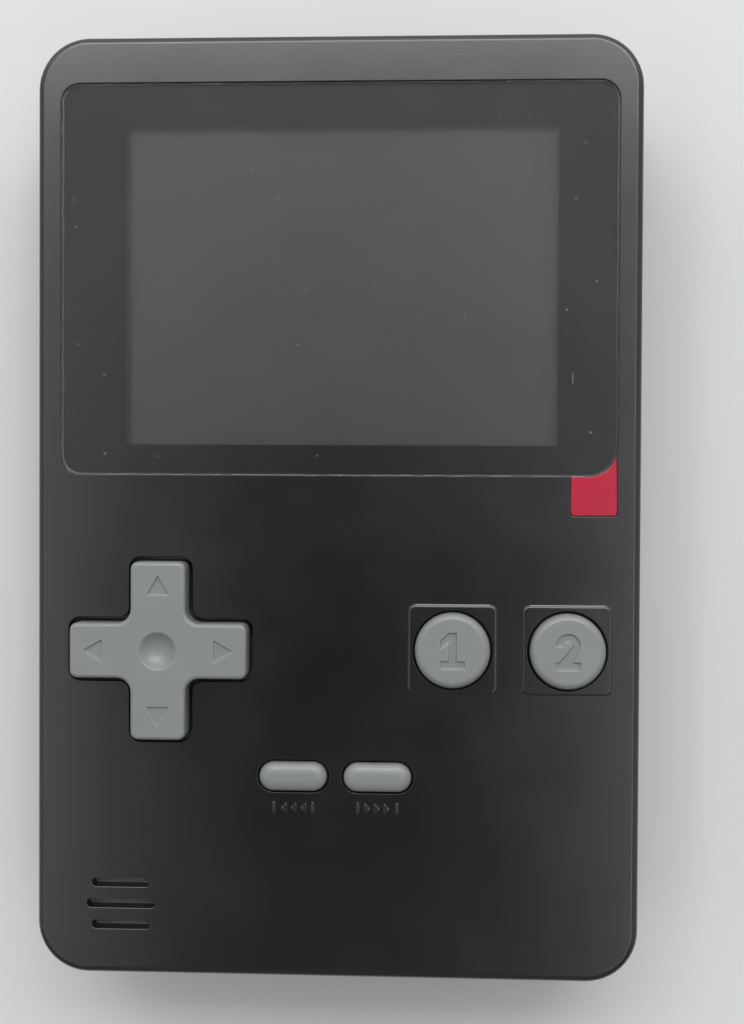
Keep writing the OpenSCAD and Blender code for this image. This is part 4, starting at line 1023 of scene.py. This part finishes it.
@dataclass
class Assembly(ABC):
    """A group of pieces that are finished together.

    Attributes:
        weld: distance within which corners are one.
        flat: angle under which two facets are one face, degrees.
        sharp: angle over which an edge is softened, degrees.
        crisp: angle over which a softened edge still shades as an edge, degrees.
        upright: height of a wall's normal under which it stands upright.
        slender: share of the width that a slim edge is softened by.
        made: the finished pieces.
    """

    weld: float = 0.001
    flat: float = 0.6
    sharp: float = 28.0
    crisp: float = 50.0
    upright: float = 0.1
    slender: float = 0.3
    made: list[Piece] = field(default_factory=list, init=False)

    @abstractmethod
    def build(self) -> None:
        """Make and seat the pieces."""

    def refine(
        self,
        node: str,
        name: str,
        finish: Finish,
        edge: float,
        segments: int = 2,
        inner: bool = False,
        slim: Callable[[Vector], bool] = lambda place: False,
    ) -> Piece:
        """Finish a copy of a solid: weld it, join its flats, soften its outer edges and dress it.

        Args:
            node: the solid.
            name: name of the piece.
            finish: finish of the piece.
            edge: width of the softened edges.
            segments: facets across a softened edge.
            inner: soften inner edges too.
            slim: says whether the edge at a place is softened much less, from millimetres.

        Returns:
            The piece, seated in the solid's place.
        """
        mesh = bpy.data.meshes.new(name)
        with edited(frame["nodes"][node].data, mesh) as shape:
            bmesh.ops.remove_doubles(shape, verts=shape.verts, dist=self.weld * MM)
            flat = math.radians(self.flat)
            bmesh.ops.dissolve_limit(shape, angle_limit=flat, verts=shape.verts, edges=shape.edges)
            outer = [
                e
                for e in shape.edges
                if len(e.link_faces) == 2
                and (inner or e.is_convex)
                and e.calc_face_angle() > math.radians(self.sharp)
            ]
            slender = dict.fromkeys(e for e in outer if slim((e.verts[0].co + e.verts[1].co) / 2 / MM))
            plain = [e for e in outer if e not in slender]
            for chosen, width in ((slender, edge * self.slender), (plain, edge)):
                bmesh.ops.bevel(
                    shape,
                    geom=[e for e in chosen if e.is_valid],
                    offset=width * MM,
                    offset_type="OFFSET",
                    segments=segments,
                    profile=0.5,
                    affect="EDGES",
                    clamp_overlap=False,
                )
            bmesh.ops.remove_doubles(shape, verts=shape.verts, dist=self.weld * MM)
            for facet in shape.faces:
                facet.smooth = True
            for e in shape.edges:
                e.smooth = len(e.link_faces) == 2 and e.calc_face_angle() < math.radians(self.crisp)
        mesh.materials.append(finish.material())
        piece = add_object(name, mesh)
        piece.modifiers.new("even_normals", "WEIGHTED_NORMAL").keep_sharp = True
        return self.seat(piece, finish, node)

    def shift_walls(self, piece: Piece, amount: float, chosen: Callable[[Vector], bool]) -> None:
        """Move upright walls outwards, to narrow the gap beside them.

        Args:
            piece: the piece.
            amount: how far.
            chosen: says whether the wall at a place is moved, from millimetres.
        """
        aims: dict[bmesh.types.BMVert, Vector] = defaultdict(Vector)
        with edited(piece.data) as shape:
            for facet in shape.faces:
                if abs(facet.normal.z) < self.upright and chosen(facet.calc_center_median() / MM):
                    for vertex in facet.verts:
                        aims[vertex] += facet.normal
            for vertex, aim in aims.items():
                vertex.co += Vector((aim.x, aim.y, 0)).normalized() * amount * MM

    def seat(self, piece: Piece, finish: Finish, *nodes: str) -> Piece:
        """Put a finished piece on its body.

        Args:
            piece: the piece.
            finish: not used.
            nodes: the solids that it stands for.

        Returns:
            The piece.
        """
        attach(piece, NODE_BODY[nodes[0]] if nodes else ROOT_BODY)
        if nodes:
            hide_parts(*nodes)
        self.made.append(piece)
        return piece


@dataclass
class CaseShell(Assembly):
    """Front and rear halves of the case and the screws that hold them.

    Attributes:
        seats: middles of the screw heads' seats.
        screw: the screws.
        keys: the keys that fill their openings closely.
        gap_fill: how far an opening's wall closes in on its key.
        flange: overhang of a key's flange inside the case.
        face: level of the case's face.
        plates: middles of the raised plates.
        plate_side: side of a plate.
        plate_corner: corner radius of a plate.
        plate_edge: height of a plate's rounded edge.
        plate_slack: how many times that height still counts as the edge.
        plate_ease: how many times as wide as high that edge is.
    """

    seats: tuple[Point, ...] = (
        (-27.6, 48.2, 4.2), (27.6, 48.2, 4.2), (-14, -48.2, 4.2), (14, -48.2, 4.2),
    )
    screw: ScrewSet = ScrewSet(head_d=3.8, head_h=1.3, shank_d=2.0, length=12.2, pitch=0.8, recess_w=0.6)
    keys: tuple[str, ...] = ("button_one", "button_two", "reset_button", "start_button")
    gap_fill: float = 0.1
    flange: float = 0.8
    face: float = 22.4
    plates: tuple[Flat, ...] = ((13.1, -15.7), (25.9, -15.7))
    plate_side: float = 10.0
    plate_corner: float = 0.85
    plate_edge: float = 0.15
    plate_slack: float = 1.01
    plate_ease: float = 2.0

    def build(self) -> None:
        """Finish both halves and grow the screws."""
        rim = partial(self.beside, "screen_lens", self.flange, self.flange)
        front = self.refine("front_case", "front_shell", CASE_ABS, edge=0.12, segments=3, slim=rim)
        for key in self.keys:
            # Moulded parts fit closely, so the opening closes in above the key's flange.
            wall = partial(self.beside, key, -2 * self.gap_fill, 2 * self.flange)
            self.shift_walls(front, self.gap_fill, wall)
        self.ease_plates(front)
        self.refine("rear_case", "rear_shell", CASE_ABS, edge=0.1)
        seeds = seed_mesh([seat] for seat in self.seats)
        self.seat(self.screw.piece("case_screw_set", seeds, SCREW_STEEL), SCREW_STEEL, "case_screws")

    def beside(self, node: str, margin: float, depth: float, place: Vector) -> bool:
        """Tell whether a place is within a solid's outline and near the case's face.

        Args:
            node: the solid.
            margin: how far the outline is widened.
            depth: how far under the face still counts.
            place: the place, in millimetres.

        Returns:
            Whether it is.
        """
        low, high = node_box(node)
        inside = all(low[i] - margin < place[i] < high[i] + margin for i in (0, 1))
        return inside and place.z > self.face - depth

    def ease_plates(self, shell: Piece) -> None:
        """Widen the rounded edge of the raised plates, so that it catches the light.

        Args:
            shell: the front half.
        """
        flat = self.plate_side / 2 - self.plate_corner
        for vertex in shell.data.vertices:
            for middle in self.plates:
                place = Vector(vertex.co[:2]) / MM - Vector(middle)
                over = Vector((max(abs(place.x) - flat, 0), max(abs(place.y) - flat, 0)))
                depth = self.plate_corner - over.length
                on_edge = depth < self.plate_edge * self.plate_slack
                if vertex.co.z > self.face * MM and over.length and on_edge:
                    aim = Vector((math.copysign(over.x, place.x), math.copysign(over.y, place.y), 0))
                    vertex.co -= aim.normalized() * max(depth, 0) * (self.plate_ease - 1) * MM


@dataclass
class ScreenStack(Assembly):
    """Lens, printed border and the display under them.

    Attributes:
        lens_lift: air under the lens, so that its lower face and the print don't share a plane.
        lens_reach: how far the lens runs on towards its pocket's wall, as it is pressed in.
        window: half the width and height beyond which the print's walls are its outer ones.
        window_middle: middle of the window.
        print_reach: how far the print runs on towards the lens's edge.
    """

    lens_lift: float = 0.02
    lens_reach: float = 0.07
    window: Flat = (26.0, 19.5)
    window_middle: Flat = (0.25, 25.25)
    print_reach: float = 0.22

    def build(self) -> None:
        """Finish the stack from the lens down."""
        lens = self.refine("screen_lens", "lens_pane", LENS_ACRYLIC, edge=0.06, segments=3)
        self.shift_walls(lens, self.lens_reach, self.outside_window)
        low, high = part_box("screen_lens")
        for vertex in lens.data.vertices:
            if vertex.co.z < (low.z + high.z) / 2:
                vertex.co.z += self.lens_lift * MM
        border = self.refine("border_film", "border_print", BORDER_INK, edge=0.02)
        self.shift_walls(border, self.print_reach, self.outside_window)
        self.refine("accent_tab", "accent_inlay", TAB_ABS, edge=0.08, segments=3)
        self.refine("display_glass", "display_panel", PANEL_GLASS, edge=0.08)
        self.refine("display_backlight", "light_guide", LIGHT_GUIDE, edge=0.12)
        self.refine("display_gasket", "dust_gasket", FOAM, edge=0.08)
        self.refine("display_cushion", "foam_spacer", FOAM, edge=0.2)
        self.refine("display_flex", "display_ribbon", FLEX_FILM, edge=0.03)

    def outside_window(self, place: Vector) -> bool:
        """Whether a place is outside the window's opening."""
        return any(abs(place[i] - self.window_middle[i]) > self.window[i] for i in (0, 1))


@dataclass(frozen=True)
class Dome:
    """A membrane's dome, parted from its sheet as a piece of its own.

    Attributes:
        name: name of the piece.
        middle: its middle on the board.
        still: not used.
        moving: not used.
        lower: how far its top is lowered, to clear a key that also tilts across it.
    """

    name: str
    middle: Flat
    still: str
    moving: str
    lower: float = 0.0


@dataclass
class KeyGroup(Assembly):
    """Keys over a silicone membrane.

    Attributes:
        domes: the membrane's domes.
        dome_cut: level where the domes part from the sheet.
        dome_full: level above which a dome's top is lowered.
        dome_reach: radius that holds a dome.
        pill_reach: radius that holds the wall round a carbon pill.
        pill_room: how far that wall is moved out, so that the pill can tilt.
    """

    domes: tuple[Dome, ...] = ()
    dome_cut: float = 16.75
    dome_full: float = 18.3
    dome_reach: float = 3.6
    pill_reach: float = 1.9
    pill_room: float = 0.1

    def lay_membrane(self, node: str, name: str, finish: Finish = SILICONE) -> None:
        """Finish the membrane, with each dome parted from its sheet as a piece of its own.

        Args:
            node: the membrane's solid.
            name: name of the sheet, which keeps what lies below the cut.
            finish: finish of the sheet and the domes.
        """
        sheet = self.refine(node, name, finish, edge=0.15)
        self.shift_walls(sheet, -self.pill_room, self.round_pill)
        for dome in self.domes:
            middle = Vector(dome.middle) * MM
            mesh = bpy.data.meshes.new(dome.name)
            with edited(sheet.data, mesh) as shape:
                self.cut_domes(shape, clear_inner=True)
                far = [v for v in shape.verts if (v.co.xy - middle).length > self.dome_reach * MM]
                bmesh.ops.delete(shape, geom=far, context="VERTS")
                for vertex in shape.verts:
                    if vertex.co.z > self.dome_full * MM:
                        vertex.co.z -= dome.lower * MM
            mesh.materials.append(finish.material())
            piece = add_object(dome.name, mesh)
            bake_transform(piece)
            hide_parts(node)
            self.made.append(piece)
        with edited(sheet.data) as shape:
            self.cut_domes(shape, clear_outer=True)

    def round_pill(self, place: Vector) -> bool:
        """Whether a wall is round a carbon pill."""
        return any((place.xy - Vector(dome.middle)).length < self.pill_reach for dome in self.domes)

    def cut_domes(self, shape: bmesh.types.BMesh, **cleared: bool) -> None:
        """Cut a membrane at the level where its domes begin.

        Args:
            shape: the membrane.
            cleared: which side of the cut goes.
        """
        whole = [*shape.verts, *shape.edges, *shape.faces]
        cut = Vector((0, 0, self.dome_cut)) * MM
        bmesh.ops.bisect_plane(shape, geom=whole, plane_co=cut, plane_no=(0, 0, 1), **cleared)


@dataclass
class DirectionPad(KeyGroup):
    """Cross-shaped pad, its carbon pills and the membrane under it."""

    domes: tuple[Dome, ...] = (
        Dome("pad_dome_up", (-19.9, -8.8), ROOT_BODY, "pad_rocker", lower=0.12),
        Dome("pad_dome_down", (-19.9, -23.2), ROOT_BODY, "pad_rocker", lower=0.12),
        Dome("pad_dome_left", (-27.1, -16.0), "pad_rocker", "direction_pad"),
        Dome("pad_dome_right", (-12.7, -16.0), "pad_rocker", "direction_pad"),
    )

    def build(self) -> None:
        """Finish the pad and what it presses."""
        self.refine("direction_pad", "pad_cross", KEY_ABS, edge=0.13, segments=3, inner=True)
        for way in ("up_down", "left_right"):
            self.refine(f"{way}_contacts", f"pad_pills_{way}", CARBON_RUBBER, edge=0.08)
        self.lay_membrane("direction_membrane", "pad_membrane")


@dataclass
class RoundKeys(KeyGroup):
    """The two round buttons, their carbon pills and their membrane."""

    domes: tuple[Dome, ...] = (
        Dome("round_key_one_dome", (13.1, -15.7), ROOT_BODY, "button_one"),
        Dome("round_key_two_dome", (25.9, -15.7), ROOT_BODY, "button_two"),
    )

    def build(self) -> None:
        """Finish both buttons and what they press."""
        for number in ("one", "two"):
            key = f"round_key_{number}"
            self.refine(f"button_{number}", key, KEY_ABS, edge=0.13, segments=3, inner=True)
            self.refine(f"contact_{number}", f"{key}_pill", CARBON_RUBBER, edge=0.08)
        self.lay_membrane("action_membrane", "round_key_membrane")


@dataclass
class PillKeys(KeyGroup):
    """The two pill-shaped buttons, their carbon pills and their membrane.

    Attributes:
        length: length of a button.
        width: width of a button.
        crown: height of a button's rounded top.
        fullness: power of the top's curve, where 2 is an ellipse and more is flatter.
        rings: rings of facets that take the curve across the top.
        ring: width of a ring.
        level: height of a face's normal over which it lies level.
    """

    length: float = 7.6
    width: float = 3.2
    crown: float = 0.9
    fullness: float = 2.5
    rings: int = 5
    ring: float = 0.12
    level: float = 0.9
    domes: tuple[Dome, ...] = (
        Dome("reset_key_dome", (-4.75, -30.15), ROOT_BODY, "reset_button"),
        Dome("start_key_dome", (4.75, -30.15), ROOT_BODY, "start_button"),
    )

    def build(self) -> None:
        """Finish both buttons and what they press."""
        for word in ("reset", "start"):
            self.round_top(self.refine(f"{word}_button", f"{word}_key", KEY_ABS, edge=0.07))
            self.refine(f"{word}_contact", f"{word}_key_pill", CARBON_RUBBER, edge=0.08)
        self.lay_membrane("menu_membrane", "pill_key_membrane")

    def top_rank(self, facet: bmesh.types.BMFace) -> float:
        """Rank a face: the widest and highest level one is a button's top."""
        return facet.calc_area() * (facet.normal.z > self.level) * facet.verts[0].co.z

    def round_top(self, key: Piece) -> None:
        """Crown a button's flat top into one smooth curve.

        Args:
            key: the button.
        """
        with edited(key.data) as shape:
            spans = [sorted(v.co[i] / MM for v in shape.verts) for i in (0, 1, 2)]
            middle = Vector([(span[0] + span[-1]) / 2 for span in spans[:2]])
            top = spans[2][-1]
            for _ in range(self.rings):
                flat = max(shape.faces, key=self.top_rank)
                bmesh.ops.inset_region(shape, faces=[flat], thickness=self.ring * MM, use_even_offset=True)
            straight = (self.length - self.width) / 2
            for vertex in shape.verts:
                if vertex.co.z / MM > top - self.crown:
                    place = Vector(vertex.co[:2]) / MM - middle
                    out = Vector((max(abs(place.x) - straight, 0), place.y)).length / (self.width / 2)
                    share = (1 - min(out, 1.0) ** self.fullness) ** (1 / self.fullness)
                    vertex.co.z = (top - self.crown * (1 - share)) * MM
            for facet in shape.faces:
                facet.smooth = True


@dataclass
class Speaker(Assembly):
    """Small round speaker behind the grille, with its two leads.

    Attributes:
        route: points of the first lead, from the basket to the board.
        step: from one lead to the other.
        lead: the leads.
        screen_middle: middle of the gauze screen behind the grille.
        screen_r: reach of the screen into the seal.
        thread: the screen's threads.
        thread_pitch: spacing of the threads, about three times as coarse as it is so that it shows.
        wave: height of a thread's weave either way.
    """

    route: tuple[Point, ...] = (
        (-21.4, -39.8, 15.4), (-19.8, -38.35, 15.4), (-18.4, -37.15, 16.4), (-16.5, -34.05, 16.5),
    )
    step: Point = (2, 0, 0)
    lead: LeadRun = LeadRun(radius=0.45, step=0.3)
    screen_middle: Point = (-24.4, -44.2, 20.2)
    screen_r: float = 5.6
    thread: LeadRun = LeadRun(radius=0.08, step=0.16)
    thread_pitch: float = 0.3
    wave: float = 0.08

    def build(self) -> None:
        """Finish the speaker's pieces, weave its screen and run its leads."""
        self.refine("speaker_frame", "speaker_basket", BASKET_STEEL, edge=0.1)
        self.refine("speaker_cone", "speaker_diaphragm", CONE_FILM, edge=0.02)
        self.refine("speaker_magnet", "speaker_motor", FERRITE, edge=0.15)
        self.refine("speaker_gasket", "speaker_seal", FOAM, edge=0.08)
        seeds = seed_mesh([Vector(p) + i * Vector(self.step) for p in self.route] for i in (0, 1))
        self.seat(self.lead.piece("speaker_wires", seeds, LEAD_PVC), LEAD_PVC, "speaker_leads")
        self.weave_screen()

    def weave_screen(self) -> None:
        """Weave the round gauze screen that keeps dust off the diaphragm."""
        pitch = self.thread_pitch
        count = int(self.screen_r / pitch)
        lines: list[list[Vector]] = []
        for turned in (False, True):
            for row in range(-count, count + 1):
                reach = int(math.sqrt(self.screen_r**2 - (row * pitch) ** 2) / pitch)
                line = []
                for step in range(-reach, reach + 1):
                    lift = self.wave * (-1) ** (row + step + turned)
                    across, along = (step, row) if turned else (row, step)
                    line.append(Vector(self.screen_middle) + Vector((across * pitch, along * pitch, lift)))
                lines.append(line)
        self.seat(self.thread.piece("gauze_screen", seed_mesh(lines), GAUZE_NYLON), GAUZE_NYLON)


@dataclass
class PowerSwitch(Assembly):
    """Slide switch on the board and the knob in the side wall."""

    def build(self) -> None:
        """Finish the switch, its actuator and the knob."""
        self.refine("power_switch", "slide_switch", TINNED_STEEL, edge=0.12)
        self.refine("switch_actuator", "slide_actuator", NYLON, edge=0.06)
        self.refine("power_knob", "slide_knob", CASE_ABS, edge=0.1)


@dataclass
class CircuitBoard(Assembly):
    """Main board with its chip, its soldered parts and its screws.

    Attributes:
        back: level of the board's back.
        screw_places: middles of the screws.
        screw: the screws.
        chip_rows: first place, step and count of each row of small parts on the back.
        chip: the small parts.
    """

    back: float = 14.8
    screw_places: tuple[Flat, ...] = ((-29.2, -0.85), (29.2, -0.85), (-29.2, -30.15), (29.2, -30.15))
    screw: ScrewSet = ScrewSet(head_d=3.2, head_h=0.6, shank_d=1.6, length=4.0, pitch=0.6, recess_w=0.5)
    chip_rows: tuple[tuple[Flat, Flat, int], ...] = (
        ((-17, 20), (0, 2.2), 6), ((-21, 20), (0, 2.2), 4), ((4, 38), (2.4, 0), 5), ((12, 6), (2.4, 0), 4),
    )
    chip: ChipSet = ChipSet(length=1.6, width=0.8, height=0.5, cap=0.3, skin=0.04)

    def build(self) -> None:
        """Finish the board, grow its small parts and its screws."""
        self.refine("main_board", "circuit_board", BOARD_LAMINATE, edge=0.05)
        self.refine("chip_drop", "epoxy_drop", EPOXY, edge=0.05)
        self.refine("board_components", "soldered_cans", TINNED_STEEL, edge=0.2, segments=3)
        seats = seed_mesh([(x, y, self.back)] for x, y in self.screw_places)
        self.seat(self.screw.piece("board_screw_set", seats, SCREW_STEEL), SCREW_STEEL, "board_screws")
        level = self.back - self.chip.height / 2
        places: list[list[Point]] = []
        aims: list[Point] = []
        for (x, y), (dx, dy), count in self.chip_rows:
            places += [[(x + i * dx, y + i * dy, level)] for i in range(count)]
            aims += [(0, 1, 0) if dx else (1, 0, 0)] * count
        chips = self.chip.piece("soldered_chips", seed_mesh(places, aims), EPOXY, TINNED_STEEL)
        self.seat(chips, EPOXY)


@dataclass
class BatteryBay(Assembly):
    """Battery door, cells, contacts, springs and leads.

    Attributes:
        plate_x: distance of the contact plates' inner faces from the middle.
        cells: each cell's place in the bay, its middle along Y and the end of its raised terminal.
        cell_z: level of the cells' axes.
        spring: the springs, one at the other end of each cell.
        spring_start: distance of a spring's first turn from its plate.
        minus_route: points of the lead from the lower cell to the board.
        plus_route: points of the lead from the upper cell to the board.
        lead: the leads.
    """

    plate_x: float = 24.55
    cells: tuple[tuple[str, float, int], ...] = (
        ("lower", -38.25, 1), ("middle", -27.45, -1), ("upper", -16.65, 1),
    )
    cell_z: float = 7.35
    spring: SpringSet = SpringSet(foot_r=4.0, tip_r=2.4, rise=3.8, wire_r=0.3, pitch=1.2667)
    spring_start: float = 0.35
    minus_route: tuple[Point, ...] = (
        (-26.85, -39.05, 8.15), (-26.85, -36.65, 8.15), (-29.075, -33.25, 8), (-29.075, -27.45, 8),
        (-29.075, -20.65, 8), (-29.075, -14.65, 8), (-29.075, -9.1, 8.4), (-28.475, -5.1, 9.6),
        (-27.075, -2.1, 11.8), (-26.1, -0.1, 14.2),
    )
    plus_route: tuple[Point, ...] = (
        (26.85, -17.45, 8.15), (26.85, -15.05, 8.15), (29.075, -11.1, 8), (28.775, -8.1, 9),
        (27.875, -4.1, 11), (27.075, -1.5, 12.8), (26.1, 0.5, 14.2),
    )
    lead: LeadRun = LeadRun(radius=0.45, step=0.4)

    def build(self) -> None:
        """Finish the door and cells, and grow the springs and leads."""
        self.refine("battery_door", "battery_cover", CASE_ABS, edge=0.1)
        for place, _, side in self.cells:
            self.refine(f"cell_{place}", f"{place}_cell", CELL_SLEEVES[side], edge=0.12)
        self.refine("contact_plates", "bay_contacts", CONTACT_STEEL, edge=0.06)
        foot_x = self.plate_x - self.spring_start
        feet = [[(-side * foot_x, y, self.cell_z)] for _, y, side in self.cells]
        seeds = seed_mesh(feet, [(side, 0, 0) for _, _, side in self.cells])
        self.seat(self.spring.piece("bay_springs", seeds, CONTACT_STEEL), CONTACT_STEEL, "battery_springs")
        seeds = seed_mesh((self.minus_route, self.plus_route))
        self.seat(self.lead.piece("battery_wires", seeds, LEAD_PVC), LEAD_PVC, "battery_leads")


def facing(place: Vector, aim: Vector) -> Matrix:
    """Turn that looks from a place to a point, with +Y up in view.

    Args:
        place: where the lamp or camera is.
        aim: the point that it looks at.

    Returns:
        The rotation.
    """
    back = (place - aim).normalized()
    right = Vector((0, 1, 0)).cross(back).normalized()
    return Matrix((right, back.cross(right), back)).transposed()


@dataclass(frozen=True)
class Softbox:
    """A soft rectangular lamp.

    Attributes:
        name: what it does.
        place: where it stands.
        size: width and height.
        power: watts.
    """

    name: str
    place: Point
    size: Flat
    power: float

    def build(self, aim: Vector) -> None:
        """Hang the lamp and point it.

        Args:
            aim: the point it lights, in metres.
        """
        light = bpy.data.lights.new(self.name, "AREA")
        light.shape = "RECTANGLE"
        light.size, light.size_y = (side * MM for side in self.size)
        light.energy = self.power
        lamp = add_object(self.name, light)
        lamp.location = Vector(self.place) * MM
        lamp.rotation_euler = facing(lamp.location, aim).to_euler()


@dataclass
class Studio:
    """Floor, light and camera.

    Attributes:
        floor_side: side of the floor.
        lamps: the lamps.
        lamp_aim: the point they light.
        sky: strength of the room's light where it is brightest.
        steps: height and share of that strength, from the horizon to the zenith.
        sides: place and share of it from the near side to the far side, both counted from 0 to 1.
        shade_middle: middle of the dim patch above the part, as a sideways direction.
        shade_half: half the patch's width and length.
        shade_core: share of the patch that is evenly dim.
        shade: share of the light in the patch.
        sky_tint: colour of the room's light.
        eye: the camera's place.
        aim: the point in the middle of the picture.
        roll: turn of the camera about its axis, degrees.
        focal: focal length, in pixels of the photograph.
        picture_h: height of the photograph, in pixels.
        film: long side of the camera's film.
        near: distance from which the camera sees.
    """

    floor_side: float = 3000.0
    lamps: tuple[Softbox, ...] = (
        Softbox("window", (20, 308, 545), (560, 200), 2.25),
        Softbox("left_fill", (-225, -20, 578), (80, 560), 0.27),
        Softbox("right_fill", (165, -20, 599), (80, 560), 0.42),
    )
    lamp_aim: Point = (0, 0, 20)
    sky: float = 2.0
    steps: tuple[Flat, ...] = ((0.08, 1.0), (0.28, 0.58), (0.4, 1.0), (0.7, 1.0), (0.87, 0.66))
    sides: tuple[Flat, ...] = ((0.2, 0.2), (0.4, 0.5), (0.6, 0.5), (0.8, 1.0))
    shade_middle: Flat = (-0.07, -0.13)
    shade_half: Flat = (0.23, 0.37)
    shade_core: float = 0.2
    shade: float = 0.02
    sky_tint: str = "#f4f6f8"
    eye: Point = (12.84, 3.13, 196.09)
    aim: Point = (3.99, -0.31, 22.4)
    roll: float = 0.28
    focal: float = 1550.0
    picture_h: float = 1024.0
    film: float = 36.0
    near: float = 1.0

    def build(self) -> None:
        """Set up the stage."""
        self.lay_floor()
        for lamp in self.lamps:
            lamp.build(Vector(self.lamp_aim) * MM)
        self.light_room()
        self.set_camera()
        bpy.context.scene.view_settings.view_transform = "Standard"

    def lay_floor(self) -> None:
        """Lay the paper floor."""
        half = self.floor_side / 2 * MM
        mesh = bpy.data.meshes.new("floor")
        corners = [(-half, -half, 0), (half, -half, 0), (half, half, 0), (-half, half, 0)]
        mesh.from_pydata(corners, [], [(0, 1, 2, 3)])
        mesh.materials.append(PAPER.material())
        floor = add_object("floor", mesh)

    def light_room(self) -> None:
        """Fill the room with soft light that is weaker straight above and on the near side."""
        world = bpy.data.worlds.new("room")
        bpy.context.scene.world = world
        world.use_nodes = True
        tree = world.node_tree
        tree.nodes.clear()
        toward = add_node(tree, "ShaderNodeTexCoord")["Generated"]
        axes = add_node(tree, "ShaderNodeSeparateXYZ", {0: toward})
        along = add_node(tree, "ShaderNodeMapRange", {"Value": axes["Y"], "From Min": -1.0})[0]
        shares: list[Socket] = []
        for reach, table in ((axes["Z"], self.steps), (along, self.sides)):
            shares.append(add_node(tree, "ShaderNodeValToRGB", {"Fac": reach})["Color"])
            stops = shares[-1].node.color_ramp.elements
            while len(stops) < len(table):
                stops.new(1.0)
            for stop, (position, share) in zip(stops, table):
                stop.position = position
                stop.color = (share, share, share, 1.0)
        scale = [1 / half for half in self.shade_half]
        offset = [-middle * factor for middle, factor in zip(self.shade_middle, scale)]
        centred = {"Vector": toward, "Location": (*offset, 0), "Scale": (*scale, 0)}
        sideways = add_node(tree, "ShaderNodeMapping", centred)[0]
        away = add_node(tree, "ShaderNodeVectorMath", {0: sideways}, operation="LENGTH")["Value"]
        rim = {"Value": away, "From Min": self.shade_core, "From Max": 1.0, "To Min": self.shade}
        shares.append(add_node(tree, "ShaderNodeMapRange", rim)[0])
        full: Any = self.sky
        for share in shares:
            full = add_node(tree, "ShaderNodeMath", {0: full, 1: share}, operation="MULTIPLY")[0]
        glow = add_node(tree, "ShaderNodeBackground", {"Color": linear(self.sky_tint), "Strength": full})[0]
        add_node(tree, "ShaderNodeOutputWorld", {"Surface": glow})

    def set_camera(self) -> None:
        """Place the camera where the photograph was taken from."""
        data = bpy.data.cameras.new("camera")
        data.sensor_width = self.film
        data.lens = self.focal / self.picture_h * self.film
        data.clip_start = self.near * MM
        camera = add_object("camera", data)
        camera.location = Vector(self.eye) * MM
        level = facing(camera.location, Vector(self.aim) * MM)
        camera.rotation_euler = (level @ Matrix.Rotation(math.radians(self.roll), 3, "Z")).to_euler()
        bpy.context.scene.camera = camera


def main() -> None:
    """Build every sub-assembly, then the stage."""
    logging.basicConfig(level=logging.INFO, format="%(message)s")
    assemblies = (
        CaseShell(), ScreenStack(), DirectionPad(), RoundKeys(), PillKeys(),
        Speaker(), PowerSwitch(), CircuitBoard(), BatteryBay(),
    )
    for assembly in assemblies:
        assembly.build()
        for piece in assembly.made:
            log.info("%s: %s, %d faces", type(assembly).__name__, piece.name, len(piece.data.polygons))
    Studio().build()


if __name__ == "__main__":
    main()
